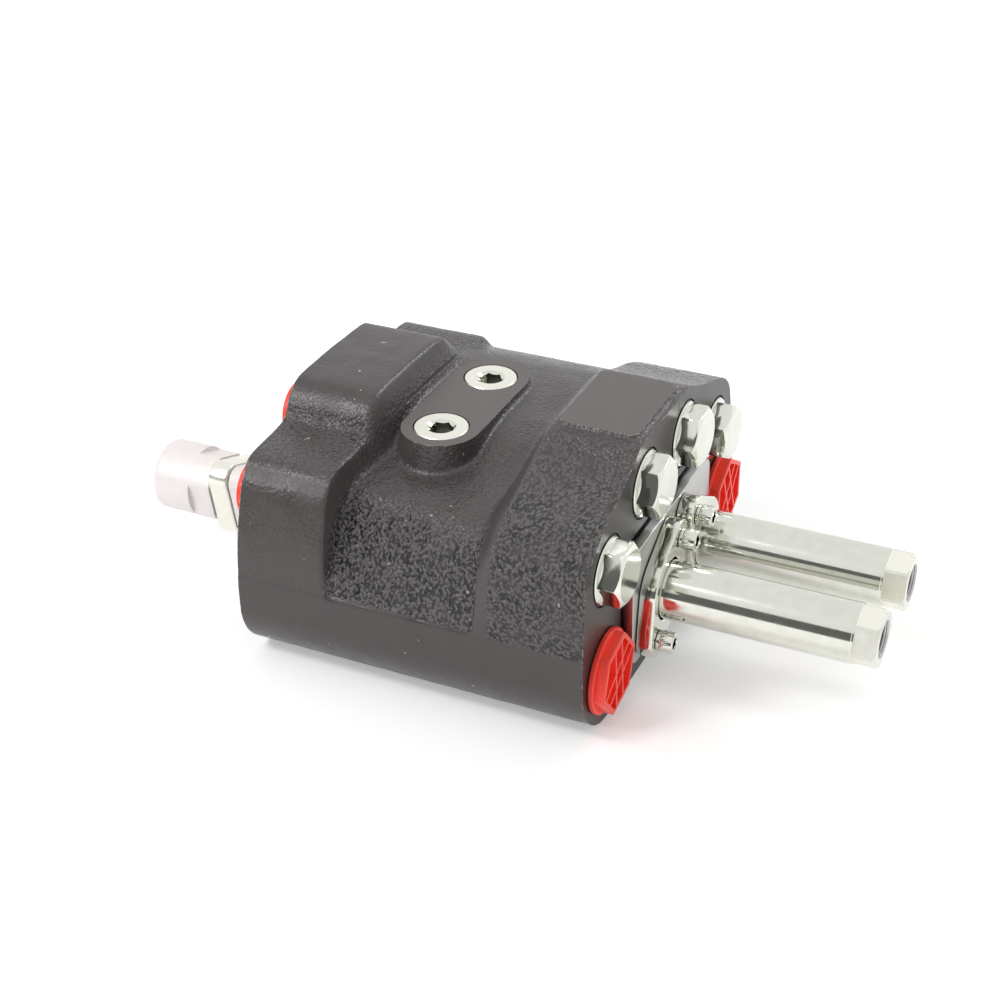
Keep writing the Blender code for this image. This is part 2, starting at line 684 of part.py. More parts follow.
def spring_cap(side):
    """Drawn tube with a collar under the flange and a hexagon milled on its port end."""
    name = side_names[side]
    spot = (face, side * spool_y, spool_height)
    outer = tube_diameter / 2
    low = plate_proud - gap - collar_thickness
    top = plate_proud
    inside = tube_end - pilot_port_depth - tube_bottom
    cap = turned(name + "_spring_cap",
                 [(tube_end, 0), (tube_end, outer - 1.3 * mm), (tube_end - 1.3 * mm, outer),
                  (top - gap, outer), (top - gap, collar_diameter / 2),
                  (low, collar_diameter / 2), (low, 0)], zinc, spot, steps=28)
    combine(cap, drill(name + "_cap_chamber", (face + low - 1 * mm, spot[1], spot[2]),
                       (face + inside, spot[1], spot[2]), 2 * (outer - tube_wall), 16))
    port = turned(name + "_pilot_port_cut",
                  [(tube_end + 1 * mm, 0), (tube_end + 1 * mm, pilot_port / 2 + 1.8 * mm),
                   (tube_end - 0.8 * mm, pilot_port / 2),
                   (tube_end - pilot_port_depth, pilot_port / 2),
                   (tube_end - pilot_port_depth, 0)], None, spot)
    combine(cap, port)
    combine(cap, drill(name + "_pilot_orifice", (face + inside - 1 * mm, spot[1], spot[2]),
                       (face + tube_end - pilot_port_depth + 1 * mm, spot[1], spot[2]),
                       pilot_orifice, 8))
    ring = turned(name + "_hex_blank",
                  [(tube_end + 2 * mm, outer + 3 * mm), (tube_end - hex_end_length, outer + 3 * mm),
                   (tube_end - hex_end_length, outer - 4 * mm), (tube_end + 2 * mm, outer - 4 * mm)],
                  None, spot, ring=True, steps=24)
    combine(ring, prism(name + "_hex_keep", hex_end_flats, tube_end - hex_end_length - 1 * mm,
                        tube_end + 3 * mm, None, spot))
    combine(cap, ring)
    return cap


def flange(side):
    """Two-bolt flange plate that clamps the cap's collar, tilted towards the middle plane."""
    name = side_names[side]
    low = plate_proud + gap
    y = side * spool_y
    outline = two_bolt_outline(flange_radius, flange_tip, bolt_spacing / 2, bolt_tilt)
    points = [(y - side * a, spool_height + b) for a, b in outline]
    item = loft(name + "_cap_flange", across(points, face + low, face + low + flange_thickness), zinc)
    bevel = item.modifiers.new("edge", "BEVEL")
    bevel.width = 0.5 * mm
    bevel.segments = 1
    bevel.angle_limit = math.radians(40)
    combine(item, drill(name + "_flange_bore", (face + low - 1 * mm, y, spool_height),
                        (face + low + flange_thickness + 1 * mm, y, spool_height),
                        tube_diameter + 2 * tube_gap, seen))
    for i, (screw_y, screw_z) in enumerate(screw_places(side)):
        combine(item, drill(f"{name}_flange_clearance_{i}", (face + low - 1 * mm, screw_y, screw_z),
                            (face + low + flange_thickness + 1 * mm, screw_y, screw_z),
                            screw_diameter + 2 * screw_clearance, hidden))
    return item


def screw_places(side):
    y = side * spool_y
    return [(y + side * bolt_dy, spool_height - bolt_dz), (y - side * bolt_dy, spool_height + bolt_dz)]


def cap_plate():
    """Steel plate in the end-face pocket; it takes both cap collars and their seals."""
    outline = [(y, z + spool_height) for y, z in
               rounded_box(plate_half_width, plate_half_height, plate_corner - pocket_margin, 4)]
    low = face - plate_pocket + gap
    item = loft("cap_plate", across(outline, low, face + plate_proud), plain_steel)
    floor = face + plate_proud - collar_thickness - 2 * gap
    for side in (-1, 1):
        name = side_names[side]
        y = side * spool_y
        combine(item, drill(name + "_plate_bore", (low - 1 * mm, y, spool_height),
                            (face + plate_proud + 1 * mm, y, spool_height),
                            spool_diameter + 4 * gap, 16))
        combine(item, drill(name + "_plate_counterbore", (floor, y, spool_height),
                            (face + plate_proud + 1 * mm, y, spool_height),
                            collar_diameter + 2 * gap, seen))
        ring = tube_diameter / 2 - tube_wall / 2 + 0.4 * mm
        groove = cap_ring_wire / 2 + gap
        combine(item, turned(name + "_plate_groove",
                             [(floor + 0.5 * mm, ring + groove), (floor - cap_ring_wire - gap, ring + groove),
                              (floor - cap_ring_wire - gap, ring - groove),
                              (floor + 0.5 * mm, ring - groove)], None, (0, y, spool_height), steps=16,
                             ring=True))
        o_ring(name + "_cap_seal", ring, cap_ring_wire, teal_rubber,
               (floor - cap_ring_wire / 2, y, spool_height))
        for i, (screw_y, screw_z) in enumerate(screw_places(side)):
            combine(item, drill(f"{name}_plate_clearance_{i}", (low - 1 * mm, screw_y, screw_z),
                                (face + plate_proud + 1 * mm, screw_y, screw_z),
                                screw_diameter + 2 * screw_clearance, hidden))
    return item


def socket_screw(name, spot, under_head, length, outward=1):
    """A socket head cap screw with its captive lock washer, head towards +X or -X."""
    head = under_head + washer_thickness
    top = head + screw_head_length
    radius = screw_head / 2
    axis = "X" if outward > 0 else "-X"
    screw = turned(name, [(top, 0), (top, radius - 0.4 * mm), (top - 0.4 * mm, radius),
                          (head + 0.2 * mm, radius), (head, radius - 0.6 * mm),
                          (head - 0.2 * mm, radius - 0.2 * mm), (under_head, radius - 0.2 * mm),
                          (under_head, screw_diameter / 2), (under_head - length, screw_diameter / 2),
                          (under_head - length, 0)], zinc, spot, axis, steps=hidden)
    return combine(screw, prism(name + "_socket", screw_socket, top - screw_socket_depth,
                                top + 1 * mm, None, spot, axis))


def flange_screws(side):
    """The two screws of one flange."""
    low = flange_face + gap
    for level, (y, z) in zip(("lower", "upper"), screw_places(side)):
        socket_screw(f"{side_names[side]}_flange_screw_{level}", (face, y, z), low,
                     low + plate_pocket + screw_grip)


def hex_plug(name, y, z, turn):
    """A collared hex plug, hollow behind, over one port valve."""
    spot = (face, y, z)
    collar_low = -spotface_depth + gap
    collar_top = collar_low + plug_collar_thickness
    top = collar_top + plug_head
    corner = plug_flats / 2 / math.cos(math.pi / 6)
    item = turned(name + "_plug",
                  [(top - gap, 0), (top - gap, plug_flats / 2 - 1 * mm),
                   (collar_top + 1 * mm, plug_flats / 2 - 1 * mm), (collar_top, plug_collar / 2),
                   (collar_low, plug_collar / 2), (collar_low, plug_shank / 2),
                   (-plug_shank_length, plug_shank / 2), (-plug_shank_length, plug_bore / 2),
                   (plug_bore_depth - plug_shank_length, plug_bore / 2),
                   (plug_bore_depth - plug_shank_length, 0)], zinc, spot)
    head = prism(name + "_hex", plug_flats, collar_top - 0.4 * mm, top, None, spot, turn=turn)
    rounding = turned(name + "_hex_rounding",
                      [(top, 0), (top, plug_flats / 2 - 0.8 * mm), (top - 2.2 * mm, corner + 0.1 * mm),
                       (collar_top - 1 * mm, corner + 0.1 * mm), (collar_top - 1 * mm, 0)],
                      None, spot)
    combine(head, rounding, "INTERSECT")
    return combine(item, head, "UNION")


def port_valve(name, y, z):
    """Poppet and spring behind a hex plug."""
    spot = (face, y, z)
    seat = -valve_cavity
    head = poppet_head / 2
    edge = valve_seat / 2
    slope_top = seat + (head - edge) + gap
    stem_top = plug_bore_depth - plug_shank_length - poppet_room
    turned(name + "_poppet",
           [(stem_top, 0), (stem_top, poppet_stem / 2 - 0.4 * mm), (stem_top - 0.4 * mm, poppet_stem / 2),
            (slope_top + 3 * mm, poppet_stem / 2), (slope_top + 1.5 * mm, head), (slope_top, head),
            (slope_top - head + 3.5 * mm, 3.5 * mm), (slope_top - head + 3.5 * mm, 0)],
           ground_steel, spot, steps=small)
    coil(name + "_poppet_spring", plug_bore / 2 - 1 * mm - poppet_spring_wire / 2, poppet_spring_wire,
         stem_top, plug_bore_depth - plug_shank_length, poppet_spring_turns, spring_steel, spot,
         per_turn=6)


def gallery_stack(side):
    """Flush plug in the boss with the load check poppet and spring below it."""
    name = side_names[side]
    spot = (face - boss_x, side * plug_y, 0)
    low = boss_top - gallery_plug_thickness + gap
    skirt = low - check_skirt
    spring_top = boss_top - gallery_socket_depth - check_spring_room
    bore = check_bore / 2 - gap - 2.4 * mm
    plug = turned(name + "_gallery_plug",
                  [(boss_top, 0), (boss_top, gallery_plug / 2 - 0.3 * mm),
                   (boss_top - 0.3 * mm, gallery_plug / 2), (low, gallery_plug / 2),
                   (low, check_bore / 2 - gap), (skirt, check_bore / 2 - gap), (skirt, bore),
                   (spring_top, bore), (spring_top, 0)], zinc, spot, axis="Z")
    combine(plug, prism(name + "_gallery_socket_cut", gallery_socket,
                        boss_top - gallery_socket_depth, boss_top + 1 * mm, None, spot, axis="Z"))
    head = check_bore / 2 - 2 * gap
    edge = check_seat / 2
    slope_top = check_seat_height + (head - edge) + gap
    stem_top = spring_top - check_room
    stem = bore - gap
    turned(name + "_load_check",
           [(stem_top, 0), (stem_top, stem), (slope_top + 1.6 * mm, stem),
            (slope_top + 1.6 * mm, head), (slope_top, head), (slope_top - head + 3 * mm, 3 * mm),
            (slope_top - head + 3 * mm, 0)], ground_steel, spot, axis="Z", steps=small)
    coil(name + "_load_check_spring", bore - 1 * mm - poppet_spring_wire / 2, poppet_spring_wire,
         stem_top, spring_top, poppet_spring_turns, spring_steel, spot, axis="Z", per_turn=6)


def port_cap(name, outward, x, y, z, flats, port, turn=0.0, sides=6, collar=0.0):
    """Red plastic port plug: head with a ribbed recess, round collar or none, shank in the port."""
    spot = (x, y, z)
    low, top = gap * outward, (gap + cap_head) * outward
    end = -cap_shank_length * outward
    base = low + 1 * mm if collar else low
    head = prism(name, flats, min(base, top), max(base, top), red_plastic, spot, turn=turn, sides=sides)
    if collar:
        rim = low + cap_collar_thickness
        combine(head, turned(name + "_collar", [(rim, 0), (rim, collar / 2), (low, collar / 2),
                                                (low, 0)], None, spot), "UNION")
    inner = flats - 2 * cap_rim
    floor = top - cap_recess * outward
    past = top + 1 * mm * outward
    recess = prism(name + "_recess", inner, min(floor, past), max(floor, past), None, spot,
                   turn=turn, sides=sides)
    for angle in (0.35, 1.45):
        for offset in (-0.11, 0.11):
            rib = block(f"{name}_rib_{angle}_{offset}",
                        (-flats, offset * flats - cap_rib / 2, min(floor, past) - 1 * mm),
                        (flats, offset * flats + cap_rib / 2, max(floor, past) + 1 * mm),
                        None, spot, "X", angle + turn)
            combine(recess, rib)
    combine(head, recess)
    first, last = sorted((end, low + 0.4 * mm * outward))
    shank = turned(name + "_shank", [(last, 0), (last, port / 2 - gap), (first, port / 2 - gap),
                                     (first, 0)], None, spot, steps=small)
    return combine(head, shank, "UNION")


def end_cover(side):
    """Cover over a spool end, with its own pilot port."""
    name = side_names[side]
    y = side * spool_y
    top = left_face - gap
    low = top - cover_thickness
    outline = two_bolt_outline(cover_radius, flange_tip - 0.5 * mm, bolt_spacing / 2, bolt_tilt)
    points = [(y - side * a, spool_height + b) for a, b in outline]
    item = loft(name + "_end_cover", across(points, low, top), zinc)
    spot = (low, y, spool_height)
    boss = turned(name + "_cover_boss", [(1 * mm, 0), (1 * mm, cover_boss / 2),
                                         (-cover_boss_length + 1 * mm, cover_boss / 2),
                                         (-cover_boss_length, cover_boss / 2 - 1 * mm),
                                         (-cover_boss_length, 0)], None, spot, steps=16)
    combine(item, boss, "UNION")
    room = spool_overhang + spool_travel + 1.5 * mm
    combine(item, drill(name + "_cover_chamber", (left_face - room, y, spool_height),
                        (top + 1 * mm, y, spool_height), spool_diameter + 4 * gap, small))
    end = low - cover_boss_length
    combine(item, drill(name + "_cover_port", (end - 1 * mm, y, spool_height),
                        (end + cover_port_depth, y, spool_height), cover_port))
    combine(item, drill(name + "_cover_orifice", (end + cover_port_depth - 1 * mm, y, spool_height),
                        (left_face - room + 1 * mm, y, spool_height), 4 * mm, 8))
    ring = spool_diameter / 2 + 2 * gap + 2.4 * mm
    groove = cover_ring_wire / 2 + gap
    combine(item, turned(name + "_cover_groove",
                         [(top + 0.5 * mm, ring + groove), (top - cover_ring_wire - gap, ring + groove),
                          (top - cover_ring_wire - gap, ring - groove), (top + 0.5 * mm, ring - groove)],
                         None, (0, y, spool_height), ring=True, steps=16))
    for i, (screw_y, screw_z) in enumerate(screw_places(side)):
        combine(item, drill(f"{name}_cover_clearance_{i}", (low - 1 * mm, screw_y, screw_z),
                            (top + 1 * mm, screw_y, screw_z), screw_diameter + 2 * screw_clearance, hidden))
    o_ring(name + "_cover_seal", ring, cover_ring_wire, black_rubber,
           (top - cover_ring_wire / 2, y, spool_height))
    for level, (screw_y, screw_z) in zip(("lower", "upper"), screw_places(side)):
        socket_screw(f"{name}_cover_screw_{level}", (low, screw_y, screw_z), gap,
                     cover_thickness + 2 * gap + screw_grip, outward=-1)


def relief_valve():
    """Cartridge, poppet, spring, adjusting screw, lock nut and grey cap on one axis."""
    spot = (left_face, 0, relief_height)
    bore = relief_bore / 2
    shank = relief_cavity / 2 - gap
    shank_end = relief_cavity_depth - 14 * mm
    neck_end = -gap - relief_neck_length
    hex_end = neck_end - relief_hex_length
    cartridge = turned("relief_cartridge",
                       [(shank_end, bore), (shank_end, shank), (0, shank), (-gap, relief_neck / 2),
                        (neck_end - 1 * mm, relief_neck / 2), (neck_end - 1 * mm, 13.5 * mm),
                        (hex_end, 13.5 * mm), (hex_end, adjuster_diameter / 2 + gap),
                        (hex_end + 12 * mm, adjuster_diameter / 2 + gap), (hex_end + 12 * mm, bore)],
                       grey_cap, spot, ring=True)
    sleeve = turned("relief_hex_rounding",
                    [(neck_end, 0), (neck_end, relief_hex_flats / 2), (neck_end - 1.5 * mm, 19.7 * mm),
                     (hex_end + 1.5 * mm, 19.7 * mm), (hex_end, relief_hex_flats / 2), (hex_end, 0)],
                    None, spot)
    shape = prism("relief_hex_shape", relief_hex_flats, hex_end, neck_end, None, spot, turn=0)
    combine(shape, sleeve, "INTERSECT")
    combine(shape, drill("relief_hex_hollow", (left_face + hex_end - 1 * mm, 0, relief_height),
                         (left_face + neck_end + 1 * mm, 0, relief_height), 26 * mm, 16))
    combine(cartridge, shape, "UNION")

    seat = relief_cavity_depth
    head = bore - 2 * gap
    edge = relief_seat / 2
    tip = seat + edge - gap - 2 * mm
    tail = shank_end - 8 * mm - relief_lift
    turned("relief_poppet",
           [(tip, 0), (tip, 2 * mm), (seat - gap - (head - edge), head), (tail, head),
            (tail, 0)], ground_steel, spot, steps=hidden)
    adjuster_tip = hex_end + 12 * mm
    coil("relief_spring", head - 0.4 * mm - relief_spring_wire / 2, relief_spring_wire, adjuster_tip + 4 * mm,
         tail, relief_spring_turns, spring_steel, spot, per_turn=8)
    nut_low = hex_end - gap - nut_thickness
    cap_top = nut_low - gap
    cap_end = cap_top - relief_cap_length
    turned("relief_adjusting_screw",
           [(adjuster_tip + 4 * mm, 0), (adjuster_tip + 4 * mm, head), (adjuster_tip + gap, head),
            (adjuster_tip + gap, adjuster_diameter / 2), (cap_end + 8 * mm, adjuster_diameter / 2),
            (cap_end + 8 * mm, 0)], plain_steel, spot, steps=hidden)
    nut = prism("relief_lock_nut", relief_hex_flats, nut_low, hex_end - gap, zinc, spot, turn=0)
    combine(nut, turned("nut_rounding",
                        [(hex_end - gap, 0), (hex_end - gap, relief_hex_flats / 2),
                         (hex_end - gap - 1.6 * mm, 19.8 * mm), (nut_low + 1.6 * mm, 19.8 * mm),
                         (nut_low, relief_hex_flats / 2), (nut_low, 0)], None, spot),
            "INTERSECT")
    combine(nut, drill("nut_thread", (left_face + nut_low - 1 * mm, 0, relief_height),
                       (left_face + hex_end + 1 * mm, 0, relief_height), adjuster_diameter + 2 * gap))
    radius = relief_cap_diameter / 2
    flats_end = cap_top - relief_cap_hex
    cap = turned("relief_cap",
                 [(cap_end + 7 * mm, 0), (cap_end + 7 * mm, adjuster_diameter / 2 + gap),
                  (cap_top, adjuster_diameter / 2 + gap), (cap_top, radius),
                  (cap_end + 4 * mm, radius - 0.4 * mm), (cap_end + 1.2 * mm, radius - 1.6 * mm),
                  (cap_end, radius - 4.5 * mm), (cap_end, 0)], grey_cap, spot, steps=28)
    ring = turned("cap_flats_blank", [(cap_top + 1 * mm, radius + 4 * mm), (flats_end, radius + 4 * mm),
                                      (flats_end, radius - 4 * mm), (cap_top + 1 * mm, radius - 4 * mm)],
                  None, spot, ring=True, steps=24)
    combine(ring, prism("cap_flats_keep", relief_hex_flats - 1.6 * mm, flats_end - 1 * mm,
                        cap_top + 2 * mm, None, spot))
    combine(cap, ring)


def build():
    housing()
    cap_plate()
    for side in (-1, 1):
        spool(side)
        centring(side)
        spring_cap(side)
        flange(side)
        flange_screws(side)
        gallery_stack(side)
        end_cover(side)
    turns = {"front_outer": 0.0, "front_inner": 0.15, "rear_inner": 0.05, "rear_outer": 0.52}
    for name, (y, z) in port_places.items():
        hex_plug(name, y, z, turns[name])
        port_valve(name, y, z)
        port_cap(name + "_port_cap", -1, left_face, y, z, work_cap, work_port, sides=small)
    for name, side, turn in (("supply_port_cap", -1, 0.2), ("return_port_cap", 1, 0.5)):
        port_cap(name, 1, face, *main_ports[side], main_cap_flats, main_port, turn,
                 collar=main_cap_collar)
    relief_valve()


build()
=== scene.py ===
"""Two-spool monoblock directional valve, dressed for the photograph's view.

Metres, +Z up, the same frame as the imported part. The sections follow the valve as it is put
together: studio, casting, boss plugs, cap plate, flanges, spring caps, hex plugs, port plugs,
spool end covers, relief valve, and the pieces inside.
"""
import math

import bmesh
import bpy
import numpy as np
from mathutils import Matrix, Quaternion, Vector, kdtree, noise


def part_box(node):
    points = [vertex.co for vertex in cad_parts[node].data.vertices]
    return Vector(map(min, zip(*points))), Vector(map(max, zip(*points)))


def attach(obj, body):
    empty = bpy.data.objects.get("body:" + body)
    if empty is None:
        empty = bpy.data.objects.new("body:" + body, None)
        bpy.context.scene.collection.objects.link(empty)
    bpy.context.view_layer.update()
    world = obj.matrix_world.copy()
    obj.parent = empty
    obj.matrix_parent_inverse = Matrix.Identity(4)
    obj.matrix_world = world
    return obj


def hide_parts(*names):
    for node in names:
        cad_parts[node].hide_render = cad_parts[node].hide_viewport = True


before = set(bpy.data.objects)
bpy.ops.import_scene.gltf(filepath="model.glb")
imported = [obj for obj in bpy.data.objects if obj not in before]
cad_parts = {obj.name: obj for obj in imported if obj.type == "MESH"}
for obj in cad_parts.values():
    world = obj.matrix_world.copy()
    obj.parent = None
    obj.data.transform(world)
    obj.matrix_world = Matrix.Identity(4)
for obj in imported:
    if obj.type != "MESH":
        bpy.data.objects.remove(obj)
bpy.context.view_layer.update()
mm = 0.001
scene = bpy.context.scene


# Studio: a white table under a white surround, soft lamps above the front left, low in front
# and behind, and a grey flag in front that gives bright metal something to mirror.
def linear(code):
    """An sRGB hex code as a linear RGBA colour."""
    parts = [int(code[i:i + 2], 16) / 255 for i in (1, 3, 5)]
    return [p / 12.92 if p < 0.04045 else ((p + 0.055) / 1.055) ** 2.4 for p in parts] + [1]


def add(tree, kind, sockets=None, **settings):
    """Adds a node with its settings. A socket gets a value, or a link from another node."""
    made = tree.nodes.new("ShaderNode" + kind)
    for key, value in settings.items():
        setattr(made, key, value)
    for key, value in (sockets or {}).items():
        if isinstance(value, bpy.types.Node):
            value = value.outputs[0]
        if isinstance(value, bpy.types.NodeSocket):
            tree.links.new(value, made.inputs[key])
        else:
            made.inputs[key].default_value = value
    return made


def rays_that_see_white(tree):
    """1 for what looks straight, by mirror or through glass, 0 for light on a dull surface."""
    path = add(tree, "LightPath")
    seen = add(tree, "Math", {0: path.outputs["Is Camera Ray"],
                              1: path.outputs["Is Glossy Ray"]}, operation="MAXIMUM")
    return add(tree, "Math", {0: seen, 1: path.outputs["Is Transmission Ray"]},
               operation="MAXIMUM")


view_azimuth, view_elevation, view_roll = 25.4, 31.0, -0.97   # degrees
camera_data = bpy.data.cameras.new("camera")
camera_data.sensor_width = 36
camera_data.lens = 36 * 1.855
camera_data.clip_start = 10 * mm
camera = bpy.data.objects.new("camera", camera_data)
camera.location = (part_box("valve_body")[1].x + 238.1 * mm, -671.9 * mm, 502.4 * mm)
camera.rotation_mode = "QUATERNION"
camera.rotation_quaternion = (Quaternion((0, 0, 1), math.radians(view_azimuth)) @
                              Quaternion((1, 0, 0), math.radians(90 - view_elevation)) @
                              Quaternion((0, 0, 1), math.radians(view_roll)))
scene.collection.objects.link(camera)
scene.camera = camera
scene.view_settings.view_transform = "Standard"

world = bpy.data.worlds.new("white surround")
scene.world = world
world.use_nodes = True
tree = world.node_tree
tree.nodes.clear()
surround_level = 0.62
strength = add(tree, "MapRange", {"Value": rays_that_see_white(tree), "To Min": surround_level,
                                  "To Max": 1.0})
background = add(tree, "Background", {"Color": (1, 1, 1, 1), "Strength": strength.outputs[0]})
add(tree, "OutputWorld", {"Surface": background})


def lamp(name, watts, size, place, aim):
    """A soft square lamp that looks at aim."""
    data = bpy.data.lights.new(name, "AREA")
    data.energy = watts
    data.shape = "RECTANGLE"
    data.size, data.size_y = size
    item = bpy.data.objects.new(name, data)
    item.location = place
    item.rotation_euler = (Vector(aim) - Vector(place)).to_track_quat("-Z", "Y").to_euler()
    scene.collection.objects.link(item)
    return item


lamp("key lamp", 6.0, (0.45, 0.30), (-0.55, -0.75, 1.15), (0, 0, 0.05))
lamp("front lamp", 5.0, (0.35, 0.25), (-1.0, -1.35, 0.85), (0, 0, 0.06))
lamp("back lamp", 5.0, (0.6, 0.3), (0.45, 0.95, 0.95), (0, 0, 0.05))


def sheet(name, corners, material):
    """A flat four-cornered sheet that is part of the studio."""
    mesh = bpy.data.meshes.new(name)
    mesh.from_pydata(corners, [], [(0, 1, 2, 3)])
    mesh.materials.append(material)
    item = bpy.data.objects.new(name, mesh)
    scene.collection.objects.link(item)
    return item


table = bpy.data.materials.new("white matt table")
table.use_nodes = True
tree = table.node_tree
matt = tree.nodes["Principled BSDF"]
matt.inputs["Base Color"].default_value = linear("#fbfbfb")
matt.inputs["Roughness"].default_value = 0.9
matt.inputs["Specular IOR Level"].default_value = 0.1
matt.inputs["Emission Color"].default_value = (1, 1, 1, 1)
table_lift = 0.25               # what takes the lit table to white and leaves its shadows
glow = add(tree, "Math", {0: rays_that_see_white(tree), 1: table_lift}, operation="MULTIPLY")
tree.links.new(glow.outputs[0], matt.inputs["Emission Strength"])
sheet("table", [(-6, -6, 0), (6, -6, 0), (6, 6, 0), (-6, 6, 0)], table)
flag_cloth = bpy.data.materials.new("grey flag cloth")
flag_cloth.use_nodes = True
cloth_shader = flag_cloth.node_tree.nodes["Principled BSDF"]
cloth_shader.inputs["Base Color"].default_value = linear("#6c6e6c")
flag_cloth.node_tree.nodes["Principled BSDF"].inputs["Roughness"].default_value = 1.0
flag = sheet("front_flag", [(-3.0, -1.7, 0.01), (0.9, -1.7, 0.01), (0.9, -1.7, 1.0),
                            (-3.0, -1.7, 1.0)], flag_cloth)
flag.visible_camera = False
flag.visible_diffuse = False
flag.visible_shadow = False


# Casting: one block of grey iron, poured in a sand mould, shot blasted, milled where something
# seals or seats, and sprayed satin black. The sand leaves a pebbled skin in the saddle and on
# the right block; the lower band and the left block lay against a smoother core.
cast_low, cast_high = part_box("valve_body")
left_face, face = cast_low.x, cast_high.x
half_width = cast_high.y
boss_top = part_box("front_gallery_plug")[1].z
boss_middle = sum(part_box("front_gallery_plug"), Vector()) / 2
boss_radius = 18.3 * mm
skin_step = 1.0 * mm            # size of the casting's mesh

foot_round = [(63 + 30 * math.sin(a), 30 - 30 * math.cos(a))
              for a in np.linspace(0, math.pi / 2, 9)]
left_front = foot_round + [(92.6, 44), (90.5, 62), (84.8, 83), (80.2, 92.6), (73.2, 98.6),
                           (52, 100.4), (43, 102.6), (39, 109.4), (33.5, 114.4), (26, 116.8),
                           (0, 117.4)]
left_rear = foot_round + [(92.6, 44), (90.5, 62), (86, 83), (82.3, 93), (75.3, 98.2), (56, 99.4),
                          (47.5, 102), (43.5, 108), (38.5, 113.4), (31, 116.2), (0, 117.4)]
right_front = foot_round + [(93, 39), (93, 57), (91.5, 74), (88.3, 86), (80.5, 94.3),
                            (69.3, 100.8), (53.5, 107.2), (39, 113.6), (27.9, 118.2), (0, 118.5)]
right_rear = foot_round + [(93, 39.1), (93, 59.3), (91.6, 78.2), (87.9, 90.7), (80, 98.4),
                           (69.3, 103.3), (53.5, 108.4), (39, 114), (27.9, 118.2), (0, 118.5)]
saddle_front_left = foot_round + [(93, 36), (91.6, 45.5), (83, 58), (75.5, 70), (70.5, 79),
                                  (64.5, 85.5), (56, 88.8), (46.5, 90), (37.2, 92), (29.8, 95),
                                  (15.8, 99.5), (0, 101.5)]
saddle_front_right = foot_round + [(93, 36), (92.4, 45.5), (89.5, 60), (87, 71), (84, 79.5),
                                   (78, 86), (68, 89.5), (52, 91), (40, 92.5), (29.8, 95),
                                   (15.8, 99.5), (0, 101.5)]
saddle_rear = foot_round + [(93, 33.5), (92, 60.9), (90.2, 78.2), (85.6, 86.8), (76.3, 93.4),
                            (60.5, 98.7), (46.5, 100.7), (40, 101.2), (29.8, 101.5), (0, 101.5)]


def smooth_line(points, count):
    """A smooth line through points, cut into even steps."""
    points = np.array(points, float)
    ends = np.vstack([2 * points[0] - points[1], points, 2 * points[-1] - points[-2]])
    t = np.linspace(0, 1, 20, endpoint=False)[:, None]
    fine = [0.5 * (2 * b + (c - a) * t + (2 * a - 5 * b + 4 * c - d) * t ** 2
                   + (3 * b - a - 3 * c + d) * t ** 3)
            for a, b, c, d in zip(ends, ends[1:], ends[2:], ends[3:])]
    fine = np.vstack(fine + [points[-1:]])
    run = np.concatenate([[0], np.cumsum(np.linalg.norm(np.diff(fine, axis=0), axis=1))])
    at = np.linspace(0, run[-1], count)
    return np.column_stack([np.interp(at, run, fine[:, i]) for i in (0, 1)])


def ease(value, start, end):
    """0 before start, 1 after end, smooth between. Takes numbers or whole arrays."""
    t = np.clip((value - start) / (end - start), 0, 1)
    return t * t * (3 - 2 * t)


def solid(name, rings, material, ends=True):
    """A closed skin over rings of points, capped at both ends."""
    count = len(rings[0])
    points = [point for ring in rings for point in ring]
    faces = [(i * count + j, i * count + (j + 1) % count, (i + 1) * count + (j + 1) % count,
              (i + 1) * count + j) for i in range(len(rings) - 1) for j in range(count)]
    if ends:
        faces += [tuple(range(count))[::-1], tuple(range(len(points) - count, len(points)))]
    mesh = bpy.data.meshes.new(name)
    mesh.from_pydata([tuple(p) for p in points], [], faces)
    bm = bmesh.new()
    bm.from_mesh(mesh)
    bmesh.ops.recalc_face_normals(bm, faces=bm.faces)
    bm.to_mesh(mesh)
    bm.free()
    mesh.materials.append(material)
    item = bpy.data.objects.new(name, mesh)
    scene.collection.objects.link(item)
    return item


def settle(item, sharp=35):
    """Turns an item's modifiers into its mesh and shades it smooth up to sharp degrees."""
    graph = bpy.context.evaluated_depsgraph_get()
    old = item.data
    item.data = bpy.data.meshes.new_from_object(item.evaluated_get(graph))
    item.modifiers.clear()
    bpy.data.meshes.remove(old)
    item.data.shade_smooth()
    item.data.set_sharp_from_angle(angle=math.radians(sharp))
    return item


def cut(item, tool, how="DIFFERENCE", solver="MANIFOLD"):
    """Cuts, joins or keeps what is common, then removes the tool."""
    step = item.modifiers.new("cut", "BOOLEAN")
    step.operation, step.solver, step.object = how, solver, tool
    if hasattr(step, "material_mode"):
        step.material_mode = "TRANSFER"
    settle(item)
    bpy.data.objects.remove(tool, do_unlink=True)
    return item


def turned(name, profile, spot, material, axis="X", steps=96):
    """Turns a closed or open profile of (along, radius) points, in metres, round an axis."""
    spot = Vector(spot)
    rings = []
    for along, radius in profile:
        ring = []
        for i in range(steps):
            a = 2 * math.pi * i / steps
            c, s = max(radius, 1e-6) * math.cos(a), max(radius, 1e-6) * math.sin(a)
            ring.append(spot + Vector({"X": (along, c, s), "-X": (-along, c, s),
                                       "Z": (c, s, along)}[axis]))
        rings.append(ring)
    return solid(name, rings, material)


